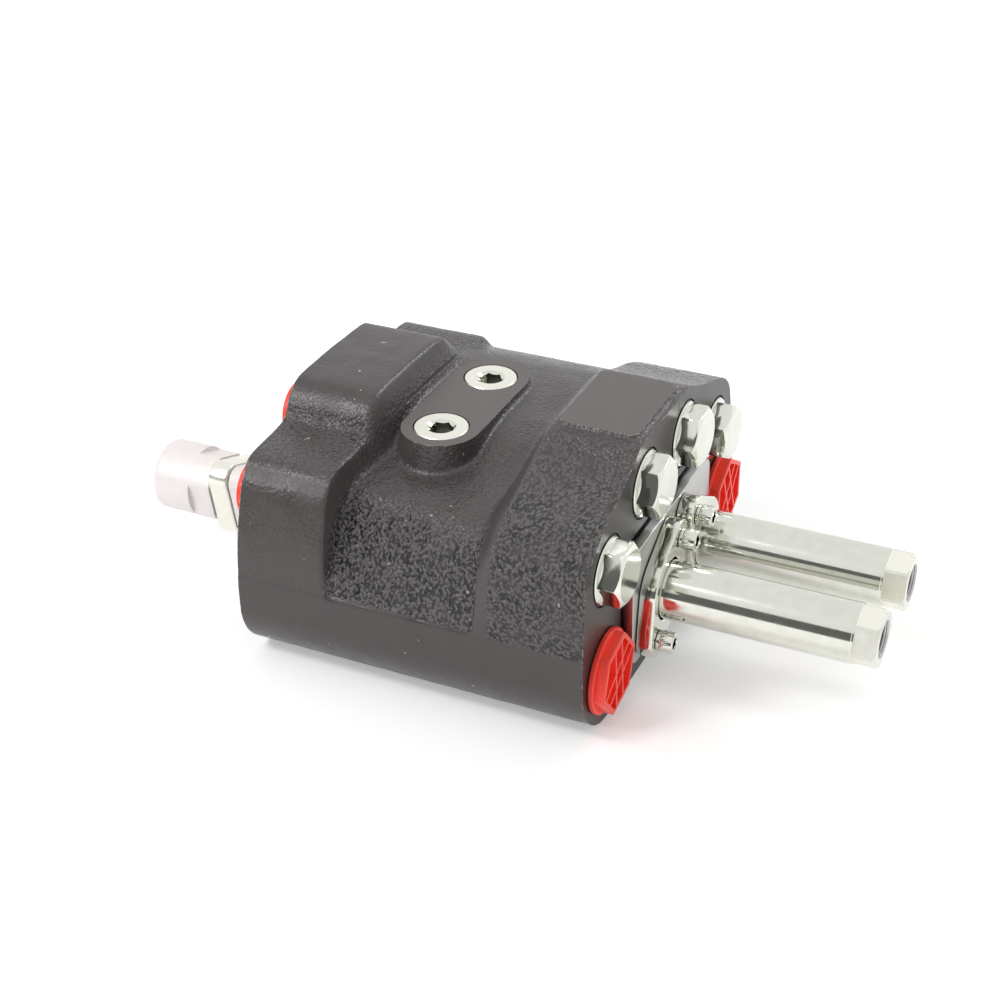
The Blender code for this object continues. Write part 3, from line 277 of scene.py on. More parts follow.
def prism(name, flats, low, high, spot, material, axis="X", turn=0.0, sides=6, edge=0.0):
    """A prism by its width across flats, with chamfered or plain ends."""
    spot = Vector(spot)
    levels = [(low, flats)] + ([(high - edge, flats), (high, flats - 2 * edge)] if edge else
                               [(high, flats)])
    rings = []
    for along, width in levels:
        ring = []
        for i in range(sides):
            a = 2 * math.pi * i / sides + turn
            r = width / 2 / math.cos(math.pi / sides)
            c, s = r * math.cos(a), r * math.sin(a)
            ring.append(spot + Vector({"X": (along, c, s), "-X": (-along, c, s),
                                       "Z": (c, s, along)}[axis]))
        rings.append(ring)
    return solid(name, rings, material)


def black_paint():
    """Satin black enamel over cast iron: it rounds the grit, is painted darker between the grains as
    painted shade and lighter over the pebbled skin as painted sheen, chips at edges.
    """
    made = bpy.data.materials.new("satin black enamel on cast iron")
    made.use_nodes = True
    tree = made.node_tree
    shader = tree.nodes["Principled BSDF"]
    place = add(tree, "TexCoord").outputs["Object"]
    grit = add(tree, "Attribute", attribute_name="grit").outputs["Fac"]
    worn = add(tree, "Attribute", attribute_name="worn").outputs["Fac"]
    patch = add(tree, "TexNoise", {"Vector": place, "Scale": 1 / (14 * mm), "Detail": 3.0})
    # Sand grains of about 1.5 mm, with painted shade darkening the hollows between them
    grains = add(tree, "TexVoronoi", {"Vector": place, "Scale": 1 / (1.5 * mm),
                                      "Smoothness": 0.5}, feature="SMOOTH_F1")
    coarse = add(tree, "TexNoise", {"Vector": place, "Scale": 1 / (2.1 * mm), "Detail": 3.0,
                                    "Roughness": 0.65})
    height = add(tree, "Math", {0: coarse, 1: grains.outputs["Distance"]}, operation="SUBTRACT")
    crevice_shade = add(tree, "MapRange", {"Value": height, "From Min": -0.12, "From Max": 0.12,
                                  "To Min": 1.0, "To Max": 0.0})
    crevice_shade = add(tree, "Math", {0: crevice_shade, 1: grit}, operation="MULTIPLY")
    tone = add(tree, "Mix", {"Factor": patch, 6: linear("#3d3939"), 7: linear("#4a4545")},
               data_type="RGBA")
    # The pebbled skin is painted lighter, a painted sheen that stands in for its glints
    tone = add(tree, "Mix", {"Factor": grit, 6: tone.outputs[2], 7: linear("#5c5757")},
               data_type="RGBA")
    # Painted shade: the hollows between the grains go near black where the skin is pebbled
    tone = add(tree, "Mix", {"Factor": crevice_shade, 6: tone.outputs[2], 7: linear("#100e0e")},
               data_type="RGBA")
    # Bare iron where handling has chipped the milled edges, and a few flecks elsewhere
    flake = add(tree, "TexNoise", {"Vector": place, "Scale": 1 / (2.4 * mm), "Detail": 5.0,
                                   "Roughness": 0.7})
    chip = add(tree, "Math", {0: worn, 1: flake}, operation="MULTIPLY")
    chip = add(tree, "MapRange", {"Value": chip, "From Min": 0.50, "From Max": 0.56})
    fleck = add(tree, "TexNoise", {"Vector": place, "Scale": 1 / (3.2 * mm), "Detail": 1.0})
    fleck = add(tree, "MapRange", {"Value": fleck, "From Min": 0.775, "From Max": 0.80})
    chip = add(tree, "Math", {0: chip, 1: fleck}, operation="MAXIMUM")
    colour = add(tree, "Mix", {"Factor": chip, 6: tone.outputs[2], 7: linear("#a9a39d")},
                 data_type="RGBA")
    tree.links.new(colour.outputs[2], shader.inputs["Base Color"])
    # The grains, then the orange peel of the sprayed coat at 0.8 mm
    height = add(tree, "Math", {0: height, 1: grit}, operation="MULTIPLY")
    peel = add(tree, "TexNoise", {"Vector": place, "Scale": 1 / (0.8 * mm), "Detail": 3.0})
    rough = add(tree, "Bump", {"Height": height, "Distance": 1.1 * mm, "Strength": 1.0})
    fine = add(tree, "Bump", {"Height": peel, "Distance": 0.05 * mm, "Strength": 0.6,
                              "Normal": rough})
    tree.links.new(fine.outputs[0], shader.inputs["Normal"])
    gloss = add(tree, "MapRange", {"Value": patch, "From Min": 0.35, "From Max": 0.65,
                                   "To Min": 0.30, "To Max": 0.42})
    wet = add(tree, "MapRange", {"Value": grit, "To Min": 1.0, "To Max": 0.38})
    gloss = add(tree, "Math", {0: gloss, 1: wet}, operation="MULTIPLY")
    tree.links.new(gloss.outputs[0], shader.inputs["Roughness"])
    return made


def milled_black(name, dark, light):
    """Milled iron under a thin coat: a darker sheen with the cutter's faint sweeps."""
    made = bpy.data.materials.new(name)
    made.use_nodes = True
    tree = made.node_tree
    shader = tree.nodes["Principled BSDF"]
    shader.inputs["Metallic"].default_value = 0.3
    place = add(tree, "TexCoord").outputs["Object"]
    patch = add(tree, "TexNoise", {"Vector": place, "Scale": 1 / (20 * mm), "Detail": 3.0})
    tone = add(tree, "Mix", {"Factor": patch, 6: linear(dark), 7: linear(light)},
               data_type="RGBA")
    tree.links.new(tone.outputs[2], shader.inputs["Base Color"])
    sweep = add(tree, "TexWave", {"Vector": place, "Scale": 1 / (2.5 * mm), "Distortion": 1.5,
                                  "Detail": 2.0}, bands_direction="Z")
    mark = add(tree, "Bump", {"Height": sweep, "Distance": 0.01 * mm, "Strength": 0.3})
    tree.links.new(mark.outputs[0], shader.inputs["Normal"])
    gloss = add(tree, "MapRange", {"Value": patch, "To Min": 0.28, "To Max": 0.42})
    tree.links.new(gloss.outputs[0], shader.inputs["Roughness"])
    return made


cast_paint = black_paint()
milled_paint = milled_black("milled iron under thin black enamel", "#332f2e", "#403b3a")
# The boss and pad tops take a lighter copy of the milled finish, a painted sheen for faces lit from
# above; the end faces keep the darker one
lit_top_paint = milled_black("faced iron under black enamel, lighter as painted sheen", "#5a5655", "#64605f")
half_points = 100
lines = [smooth_line(points, half_points) * mm
         for points in (left_front, left_rear, saddle_front_left, saddle_front_right,
                        saddle_rear, right_front, right_rear)]
rings = []
allowance = 3 * mm              # stock on the two end faces, milled away below
# The left block ends in a sharp step on the side walls and in a slope on top
slope = ease(np.arange(half_points), 0.62 * half_points, 0.80 * half_points)[:, None]
for x in np.arange(left_face - allowance, face + allowance + 0.1 * mm, 1.2 * mm):
    start = left_face + (42.6 - 2.2 * slope) * mm
    to_saddle = ease(x, start, start + (3.0 + 7.0 * slope) * mm)
    to_right = ease(x, face - 56.4 * mm, face - 42 * mm)
    along = np.clip((x - left_face) / mm - 43, 0, 83) / 83
    saddle = lines[2] * (1 - along) + lines[3] * along
    front = lines[0] * (1 - to_saddle) + saddle * (to_saddle - to_right) + lines[5] * to_right
    rear = lines[1] * (1 - to_saddle) + lines[4] * (to_saddle - to_right) + lines[6] * to_right
    rings.append([(x, -y, z) for y, z in front] + [(x, y, z) for y, z in rear[-2::-1]])
body = solid("casting", rings, cast_paint)
reach = abs(boss_middle.y)
rings = []
for height, draft in ((boss_top - 34 * mm, 3.4 * mm), (boss_top - 12 * mm, 1.2 * mm),
                      (boss_top + 3 * mm, 0.0)):
    radius = boss_radius + draft
    rings.append([(boss_middle.x + radius * math.cos(a),
                   math.copysign(reach, math.sin(a)) + radius * math.sin(a), height)
                  for a in np.linspace(0.001, 2 * math.pi - 0.001, 60)])
stock = [body, solid("boss stock", rings, cast_paint)]
pad_centre = face - 22.3 * mm
pad_half = (18 * mm, 26 * mm)


def rounded(half_x, half_y, radius, steps=8):
    """Points round a rectangle with rounded corners."""
    points = []
    for corner, (sx, sy) in enumerate(((1, 1), (-1, 1), (-1, -1), (1, -1))):
        for i in range(steps + 1):
            a = math.pi / 2 * (corner + i / steps)
            points.append((sx * (half_x - radius) + radius * math.cos(a),
                           sy * (half_y - radius) + radius * math.sin(a)))
    return points


rings = []
for height, draft in ((106 * mm, 4 * mm), (cast_high.z + 2 * mm, 0)):
    rings.append([(pad_centre + x, y, height)
                  for x, y in rounded(pad_half[0] + draft, pad_half[1] + draft, 5 * mm)])
stock.append(solid("pad stock", rings, cast_paint))
for item in stock[1:]:
    cut(body, item, "UNION")
remesh = body.modifiers.new("skin", "REMESH")
remesh.mode = "VOXEL"
remesh.voxel_size = skin_step
relax = body.modifiers.new("relax", "SMOOTH")
relax.factor = 0.5
relax.iterations = 7
settle(body)


def skin_grit(p):
    """How pebbled the cast skin is at a point, from 0 to 1."""
    x, y, z = (p - Vector((face, 0, 0))) / mm
    above_band = ease(z, 46, 47.5)
    patchy = 1 + 0.5 * noise.noise(p / (11 * mm))
    wall = 1 - ease(z, 76, 92)
    saddle = ease(x, -125, -123) * (1 - ease(x, -52.5, -49.5)) * (0.25 + 0.75 * wall)
    right = ease(x, -46, -42) * (0.85 - 0.45 * ease(z, 98, 116))
    left = (1 - ease(x, -126, -124)) * (0.10 + 0.5 * max(0, 1 - abs(z - 103) / 9))
    back = 0.5 * ease(y, 50, 70)
    return max(0.04, min(1, max(saddle, right, left, back) * patchy * above_band))


mesh = body.data
spots = np.empty(len(mesh.vertices) * 3)
mesh.vertices.foreach_get("co", spots)
spots = spots.reshape(-1, 3)
normals = np.empty(len(mesh.vertices) * 3)
mesh.vertices.foreach_get("normal", normals)
normals = normals.reshape(-1, 3)
# Pebbles coarse enough for the mesh; the finer grain is in the paint's bump
for i, spot in enumerate(spots):
    p = Vector(spot)
    rough = skin_grit(p)
    lift = noise.noise(p / (3.1 * mm)) * 0.25 * rough + noise.noise(p / (9 * mm)) * 0.16
    # The mould's lower half stands 0.35 mm proud of the wall above the band
    ledge = 0.35 * (1 - ease(p.z / mm, 45.2, 46.6))
    spots[i] = p + Vector(normals[i]) * (lift - 0.30 + ledge) * mm
limit = half_width - 0.05 * mm
spots[:, 1] = np.clip(spots[:, 1], -limit, limit)
mesh.vertices.foreach_set("co", spots.ravel())
mesh.update()

# Milling: the two ends, the foot, the boss, the pad, the plate pocket and every spotface
big = 400 * mm


def slab(name, low, high, material):
    """A box between two corners that leaves a milled face where it cuts."""
    rings = [[(low[0], low[1], z), (high[0], low[1], z), (high[0], high[1], z),
              (low[0], high[1], z)] for z in (low[2], high[2])]
    return solid(name, rings, material)


cut(body, slab("ends", (left_face, -big, -big), (face, big, big), milled_paint), "INTERSECT")
cut(body, slab("boss face", (boss_middle.x - boss_radius * 1.35, -50 * mm, boss_top),
               (boss_middle.x + boss_radius * 1.35, 50 * mm, boss_top + 9 * mm), lit_top_paint))
cut(body, slab("pad face", (pad_centre - 30 * mm, -40 * mm, cast_high.z),
               (face + mm, 40 * mm, cast_high.z + 9 * mm), lit_top_paint))
cut(body, slab("foot", (-big, -big, -9 * mm), (big, big, 0), milled_paint))
gap_start = left_face + 29 * mm
cut(body, slab("foot relief", (gap_start, -big, -9 * mm), (gap_start + 30 * mm, big, 3.8 * mm),
               milled_paint))

plate_low, plate_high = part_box("cap_plate")
plate_half = (plate_high - plate_low) / 2
spool_height = (plate_low.z + plate_high.z) / 2
rings = [[(x, y, spool_height + z) for y, z in rounded(plate_half.y + 2 * mm,
                                                       plate_half.z + 2 * mm, 9 * mm)]
         for x in (face - 3 * mm, face + mm)]
cut(body, solid("plate pocket", rings, milled_paint))
port_names = ("front_outer", "front_inner", "rear_inner", "rear_outer")
for name in port_names:
    spot = sum(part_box(name + "_plug"), Vector()) / 2
    spot.x = 0
    cut(body, turned("spotface", [(face - 1.2 * mm, 16.2 * mm), (face + mm, 16.2 * mm)], spot,
                     milled_paint))
    cut(body, turned("thread hole", [(face - 20 * mm, 10.9 * mm), (face, 10.9 * mm)], spot,
                     milled_paint, steps=48))
    spot = sum(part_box(name + "_port_cap"), Vector()) / 2
    spot.x = 0
    cut(body, turned("work port", [(left_face - mm, 11 * mm), (left_face + 20 * mm, 11 * mm)],
                     spot, milled_paint, steps=48))
for name in ("supply_port_cap", "return_port_cap"):
    spot = sum(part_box(name), Vector()) / 2
    spot.x = 0
    cut(body, turned("main port", [(face - 20 * mm, 13 * mm), (face + mm, 13 * mm)], spot,
                     milled_paint, steps=48))
for side in ("front", "rear"):
    spot = sum(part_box(side + "_gallery_plug"), Vector()) / 2
    spot.z = 0
    cut(body, turned("plug seat", [(boss_top - 10 * mm, 12.8 * mm), (boss_top + mm, 12.8 * mm)],
                     spot, milled_paint, "Z"))
    y = sum(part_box(side + "_spool"), Vector()).y / 2
    cut(body, turned("spool bore", [(left_face - mm, 8.3 * mm), (face, 8.3 * mm)],
                     (0, y, spool_height), milled_paint, steps=48))
    for x in (left_face + 18 * mm, face - 18 * mm):
        sy = math.copysign(half_width - 41 * mm, y)
        cut(body, turned("foot hole", [(-mm, 4.25 * mm), (16 * mm, 4.25 * mm)], (x, sy, 0),
                         milled_paint, "Z", steps=32))

mesh = body.data
cast_index = [m.name for m in mesh.materials].index(cast_paint.name)
milled = {v for f in mesh.polygons if f.material_index != cast_index for v in f.vertices}
cast = {v for f in mesh.polygons if f.material_index == cast_index for v in f.vertices}
rim = sorted(milled & cast)
tree_of_rims = kdtree.KDTree(len(rim))
for i, v in enumerate(rim):
    tree_of_rims.insert(mesh.vertices[v].co, i)
tree_of_rims.balance()
grit = mesh.attributes.new("grit", "FLOAT", "POINT")
worn = mesh.attributes.new("worn", "FLOAT", "POINT")
for v in mesh.vertices:
    grit.data[v.index].value = skin_grit(v.co) if v.index in cast else 0
    near = tree_of_rims.find(v.co)[2] if rim else 1
    worn.data[v.index].value = 1 - ease(near, 0.2 * mm, 1.6 * mm) if v.co.z > 2 * mm else 0
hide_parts("valve_body")
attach(body, "housing")


# Boss plugs: turned and zinc plated, screwed in flush with the milled boss, with a 10 mm
# hexagon socket. The load check valves sit below them.
def zinc_plate(name, light, dark, rough_low, rough_high, marks=0.006):
    """Bright zinc on steel: silver with a faint yellow-green cast, and the tool marks below."""
    made = bpy.data.materials.new(name)
    made.use_nodes = True
    tree = made.node_tree
    shader = tree.nodes["Principled BSDF"]
    shader.inputs["Metallic"].default_value = 1.0
    place = add(tree, "TexCoord").outputs["Object"]
    cloud = add(tree, "TexNoise", {"Vector": place, "Scale": 1 / (6 * mm), "Detail": 4.0})
    tone = add(tree, "Mix", {"Factor": cloud, 6: linear(light), 7: linear(dark)},
               data_type="RGBA")
    tree.links.new(tone.outputs[2], shader.inputs["Base Color"])
    # Tool marks every 0.3 mm or so round the turned axis, drawn no finer than the render shows
    squeezed = add(tree, "Mapping", {"Vector": place, "Scale": (1.0, 0.03, 0.03)})
    mark = add(tree, "TexNoise", {"Vector": squeezed, "Scale": 1 / (0.9 * mm), "Detail": 3.0})
    speck = add(tree, "TexNoise", {"Vector": place, "Scale": 1 / (0.8 * mm), "Detail": 3.0})
    both = add(tree, "Math", {0: mark, 1: speck}, operation="ADD")
    bump = add(tree, "Bump", {"Height": both, "Distance": marks * mm, "Strength": 0.5})
    tree.links.new(bump.outputs[0], shader.inputs["Normal"])
    gloss = add(tree, "MapRange", {"Value": cloud, "From Min": 0.3, "From Max": 0.7,
                                   "To Min": rough_low, "To Max": rough_high})
    tree.links.new(gloss.outputs[0], shader.inputs["Roughness"])
    return made


zinc = zinc_plate("bright zinc plate on turned steel", "#e3e3db", "#cfd1c7", 0.07, 0.16)
zinc_dull = zinc_plate("bright zinc plate on faced steel", "#f0efe6", "#e4e3d8", 0.26, 0.36, 0.02)
# The sockets get a darker zinc, painted shade inside the recesses
socket_shade_zinc = zinc_plate("zinc darkened in sockets as painted shade", "#a5a69e", "#7d7e77", 0.10, 0.22)


def ring_of(name, radius, wire, spot, material, axis="X"):
    """A torus, closed on itself."""
    spot = Vector(spot)
    rings = []
    for i in range(72):
        a = 2 * math.pi * i / 72
        ring = []
        for j in range(12):
            b = 2 * math.pi * j / 12
            r, along = radius + wire / 2 * math.cos(b), wire / 2 * math.sin(b)
            c, s = r * math.cos(a), r * math.sin(a)
            ring.append(spot + Vector((along, c, s) if axis == "X" else (c, s, along)))
        rings.append(ring)
    rings.append(rings[0])
    item = solid(name, rings, material, ends=False)
    weld = item.modifiers.new("weld", "WELD")
    weld.merge_threshold = 1e-6
    return settle(item)


for side in ("front", "rear"):
    low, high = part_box(side + "_gallery_plug")
    middle = (low + high) / 2
    radius, top = (high.x - low.x) / 2, high.z
    spot = (middle.x, middle.y, 0)
    plug = turned(side + "_boss_plug", [
        (low.z, 0), (low.z, radius * 0.66), (top - 9.4 * mm, radius * 0.66),
        (top - 9.4 * mm, radius), (top - 0.5 * mm, radius), (top, radius - 0.5 * mm),
        (top, 0)], spot, zinc_dull, "Z")
    cut(plug, turned("lead in", [(top - 1.2 * mm, 5.0 * mm), (top + 0.1 * mm, 6.9 * mm)], spot,
                     zinc, "Z", 48))
    cut(plug, prism("socket", 10 * mm, top - 5.5 * mm, top + mm, spot, socket_shade_zinc, "Z",
                    turn=0.35 if side == "front" else 0.1))
    settle(plug, 25)
    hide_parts(side + "_gallery_plug")
    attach(plug, "housing")


# Cap plate: a plain steel plate sunk in the end face's pocket, which both spring caps seal
# against; the milled pocket leaves a dark groove round it.
def plain_steel():
    """Ground mild steel, oiled: mid grey with the grinder's straight grain along Y."""
    made = bpy.data.materials.new("ground mild steel")
    made.use_nodes = True
    tree = made.node_tree
    shader = tree.nodes["Principled BSDF"]
    shader.inputs["Metallic"].default_value = 1.0
    place = add(tree, "TexCoord").outputs["Object"]
    stretched = add(tree, "Mapping", {"Vector": place, "Scale": (1.0, 0.04, 1.0)})
    grain = add(tree, "TexNoise", {"Vector": stretched, "Scale": 1 / (0.9 * mm), "Detail": 4.0})
    tone = add(tree, "Mix", {"Factor": grain, 6: linear("#a8a8a8"), 7: linear("#c2c2c0")},
               data_type="RGBA")
    tree.links.new(tone.outputs[2], shader.inputs["Base Color"])
    bump = add(tree, "Bump", {"Height": grain, "Distance": 0.02 * mm, "Strength": 0.5})
    tree.links.new(bump.outputs[0], shader.inputs["Normal"])
    shader.inputs["Roughness"].default_value = 0.3
    return made


steel = plain_steel()


def edge(item, width, segments=3, limit=30):
    """Breaks an item's sharp edges with a small rounded bevel."""
    bevel = item.modifiers.new("edge", "BEVEL")
    bevel.width, bevel.segments = width, segments
    bevel.angle_limit = math.radians(limit)
    bevel.use_clamp_overlap = True
    return settle(item, 40)


rings = [[(x, y, spool_height + z) for y, z in rounded(plate_half.y, plate_half.z, 7 * mm)]
         for x in (plate_low.x, plate_high.x)]
plate = edge(solid("seal_plate", rings, steel), 0.4 * mm)
spool_y = {side: sum(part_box(side + "_spool"), Vector()).y / 2 for side in ("front", "rear")}
for side, y in spool_y.items():
    seat_floor = plate_high.x - 3.4 * mm
    cut(plate, turned("collar seat", [(plate_low.x - mm, 9.2 * mm), (seat_floor, 9.2 * mm),
                                      (seat_floor, 16 * mm), (plate_high.x + mm, 16 * mm)],
                      (0, y, spool_height), steel))
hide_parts("cap_plate")
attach(plate, "housing")


# Flanges: sawn from bar, drilled and zinc plated. Each holds a spring cap by its collar with
# two M6 socket screws on split lock washers.
def two_bolt(middle, tip, reach, tilt, steps=14):
    """The oval outline round a middle circle and two tip circles."""
    lean = math.acos((middle - tip) / reach)
    arcs = ((reach, tip, -lean, lean), (0, middle, lean, math.pi - lean),
            (-reach, tip, math.pi - lean, math.pi + lean),
            (0, middle, math.pi + lean, 2 * math.pi - lean))
    points = []
    for offset, radius, first, last in arcs:
        for a in np.linspace(first, last, steps):
            x, y = offset + radius * math.cos(a), radius * math.sin(a)
            points.append((x * math.cos(tilt) - y * math.sin(tilt),
                           x * math.sin(tilt) + y * math.cos(tilt)))
    return points


def socket_screw(name, node, outward, turn):
    """An M6 socket screw: knurled head, chamfered hexagon socket, and a split washer."""
    low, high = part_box(node)
    middle = (low + high) / 2
    way = 1 if outward > 0 else -1
    axis = "X" if outward > 0 else "-X"
    top = high.x if outward > 0 else -low.x
    spot = (0, middle.y, middle.z)
    head, seat = top - 6 * mm, top - 7.5 * mm
    screw = turned(name, [(seat - 10 * mm, 0), (seat - 10 * mm, 3 * mm), (head, 3 * mm),
                          (head, 4.7 * mm), (head + 0.3 * mm, 4.95 * mm),
                          (top - 0.9 * mm, 4.95 * mm), (top - 0.4 * mm, 4.75 * mm),
                          (top, 4.2 * mm), (top, 0)], spot, zinc, axis, 96)
    # Knurl: every second line of points on the head is drawn in by 0.08 mm
    for i, v in enumerate(screw.data.vertices):
        along = v.co.x * way
        if head + 0.1 * mm < along < top - 0.7 * mm and i % 2:
            v.co.y = middle.y + (v.co.y - middle.y) * (1 - 0.08 / 4.95)
            v.co.z = middle.z + (v.co.z - middle.z) * (1 - 0.08 / 4.95)
    cut(screw, turned("socket mouth", [(top - 0.5 * mm, 2.6 * mm), (top + 0.1 * mm, 3.2 * mm)],
                      spot, zinc, axis, 36))
    cut(screw, prism("socket", 5 * mm, top - 3 * mm, top + mm, spot, socket_shade_zinc, axis, turn=turn))
    settle(screw, 22)
    # Split lock washer, its ends 0.8 mm apart
    rings = []
    for i in range(40):
        a = 0.09 + (2 * math.pi - 0.18) * i / 39 + turn
        wind = 0.25 * mm * (i / 39 - 0.5)
        ring = []
        for along, radius in ((seat + 0.1 * mm, 3.2 * mm), (head - 0.1 * mm, 3.2 * mm),
                              (head - 0.1 * mm, 4.8 * mm), (seat + 0.1 * mm, 4.8 * mm)):
            ring.append(((along + wind) * way, middle.y + radius * math.cos(a),
                         middle.z + radius * math.sin(a)))
        rings.append(ring)
    washer = edge(solid(name + "_washer", rings, zinc), 0.12 * mm, 2)
    for piece in (screw, washer):
        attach(piece, "housing")
    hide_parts(node)


bolt_reach, bolt_tilt = 46.3 / 2 * mm, math.radians(56.4)
for side, y in spool_y.items():
    sign = -1 if side == "front" else 1
    low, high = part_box(side + "_cap_flange")
    outline = [(y - sign * a, spool_height + b)
               for a, b in two_bolt(19 * mm, 8.5 * mm, bolt_reach, bolt_tilt)]
    flange = solid(side + "_flange", [[(x, a, b) for a, b in outline] for x in (low.x, high.x)],
                   zinc)
    edge(flange, 0.5 * mm)
    cut(flange, turned("tube hole", [(low.x - mm, 14.3 * mm), (high.x - 0.5 * mm, 14.3 * mm),
                                     (high.x + 0.1 * mm, 14.9 * mm)], (0, y, spool_height), zinc))
    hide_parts(side + "_cap_flange")
    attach(flange, "housing")
    for i, level in enumerate(("lower", "upper")):
        socket_screw(f"{side}_screw_{level}", f"{side}_flange_screw_{level}", 1, 0.3 + 0.5 * i)


# Spring caps: long tubes turned from bar, zinc plated, with a hexagon milled on the free end
# and a pilot port threaded into it. The chamber for the spring isn't shaped here.
for side, y in spool_y.items():
    low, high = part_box(side + "_spring_cap")
    spot = (0, y, spool_height)
    end, outer = high.x, 13.5 * mm
    cap = turned(side + "_tube", [
        (low.x, 0), (low.x, 15.7 * mm), (low.x + 2.8 * mm, 15.7 * mm), (low.x + 2.8 * mm, outer),
        (end - 11.4 * mm, outer), (end - 11.1 * mm, outer - 0.25 * mm),
        (end - 10.4 * mm, outer - 0.25 * mm), (end - 10.4 * mm, outer), (end - 1.0 * mm, outer),
        (end, outer - 1.2 * mm), (end, 0)], spot, zinc, steps=120)
    sleeve = turned("ring", [(end - 10.4 * mm, 18 * mm), (end + 2 * mm, 18 * mm)], spot, zinc_dull)
    cut(sleeve, prism("hexagon", 24 * mm, end - 11 * mm, end + 3 * mm, spot, zinc_dull, turn=0.26))
    cut(cap, sleeve)
    # G3/8 thread: crests every 1.337 mm down the port
    thread = [(end + mm, 9.4 * mm), (end - 0.8 * mm, 8.2 * mm)]
    for i in range(8):
        thread += [(end - (1.0 + 1.337 * i) * mm, 8.4 * mm),
                   (end - (1.65 + 1.337 * i) * mm, 7.6 * mm)]
    port_floor = end - 12 * mm
    bore = turned("port", [(port_floor, 0), (port_floor, 7.6 * mm)] + thread[::-1] + [(end + mm, 0)],
                  spot, steel, steps=60)
    cut(cap, bore)
    settle(cap, 28)
    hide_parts(side + "_spring_cap")
    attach(cap, "housing")


# Hex plugs: forged collared plugs, zinc plated, over the four port valves. The collar sits in
# a spotface on a black sealing ring.
def seal_rubber(name, code):
    """Moulded nitrile: dull and slightly dusty."""
    made = bpy.data.materials.new(name)
    made.use_nodes = True
    tree = made.node_tree
    shader = tree.nodes["Principled BSDF"]
    place = add(tree, "TexCoord").outputs["Object"]
    dust = add(tree, "TexNoise", {"Vector": place, "Scale": 1 / (2 * mm), "Detail": 3.0})
    tone = add(tree, "Mix", {"Factor": dust, 6: linear(code), 7: linear("#2a2a2a")},
               data_type="RGBA")
    tree.links.new(tone.outputs[2], shader.inputs["Base Color"])
    shader.inputs["Roughness"].default_value = 0.55
    return made


black_rubber = seal_rubber("black nitrile rubber", "#0d0d0e")
plug_turns = dict(zip(port_names, (0.0, 0.15, 0.05, 0.52)))
for name in port_names:
    low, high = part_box(name + "_plug")
    middle = (low + high) / 2
    spot = (0, middle.y, middle.z)
    top, collar, flats = high.x, (high.y - low.y) / 2, 25 * mm
    seat = face - 0.9 * mm
    plug = turned(name + "_hex_plug", [
        (low.x, 0), (low.x, 10.8 * mm), (seat, 10.8 * mm), (seat, collar - 0.3 * mm),
        (seat + 0.4 * mm, collar), (seat + 1.3 * mm, collar), (seat + 1.9 * mm, collar - 0.5 * mm),
        (seat + 2.4 * mm, flats / 2 + 0.9 * mm), (seat + 3.4 * mm, flats / 2 - 0.3 * mm),
        (seat + 3.6 * mm, 0)], spot, zinc)
    head = prism("head", flats, seat + 2 * mm, top, spot, zinc, turn=plug_turns[name])
    corner = flats / 2 / math.cos(math.pi / 6)
    cut(head, turned("chamfer", [(seat, 0), (seat, corner + mm),
                                 (top - 2.1 * mm, corner + 0.15 * mm),
                                 (top - 0.15 * mm, flats / 2 - 0.7 * mm),
                                 (top, flats / 2 - 1.1 * mm),
                                 (top, 0)], spot, zinc_dull), "INTERSECT")
    edge(head, 0.25 * mm, 2, 20)
    cut(plug, head, "UNION")
    settle(plug, 25)
    ring = ring_of(name + "_plug_seal", collar + 0.25 * mm, 0.9 * mm,
                   (seat + 0.1 * mm, middle.y, middle.z),
                   black_rubber)
    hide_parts(name + "_plug")
    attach(plug, "housing")
    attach(ring, "housing")


# Port plugs: moulded red polyethylene, pushed into the supply, return and work ports for
# transport. The head is hollow, with a rim and two crossing pairs of ribs: a hexagon on a
# round collar for the two large ports, plain round for the work ports.
def red_plastic():
    """Moulded polyethylene: strong red, waxy, a little light goes in."""
    made = bpy.data.materials.new("moulded red polyethylene")
    made.use_nodes = True
    tree = made.node_tree
    shader = tree.nodes["Principled BSDF"]
    place = add(tree, "TexCoord").outputs["Object"]
    flow = add(tree, "TexNoise", {"Vector": place, "Scale": 1 / (8 * mm), "Detail": 2.0})
    tone = add(tree, "Mix", {"Factor": flow, 6: linear("#fb3b2c"), 7: linear("#ff4a39")},
               data_type="RGBA")
    tree.links.new(tone.outputs[2], shader.inputs["Base Color"])
    shader.inputs["Subsurface Weight"].default_value = 0.15
    shader.inputs["Subsurface Radius"].default_value = (1.5 * mm, 0.3 * mm, 0.2 * mm)
    shader.inputs["Subsurface Scale"].default_value = 1.0
    shader.inputs["Roughness"].default_value = 0.36
    wax = add(tree, "TexNoise", {"Vector": place, "Scale": 1 / (1.2 * mm), "Detail": 2.0})
    bump = add(tree, "Bump", {"Height": wax, "Distance": 0.03 * mm, "Strength": 0.4})
    tree.links.new(bump.outputs[0], shader.inputs["Normal"])
    return made


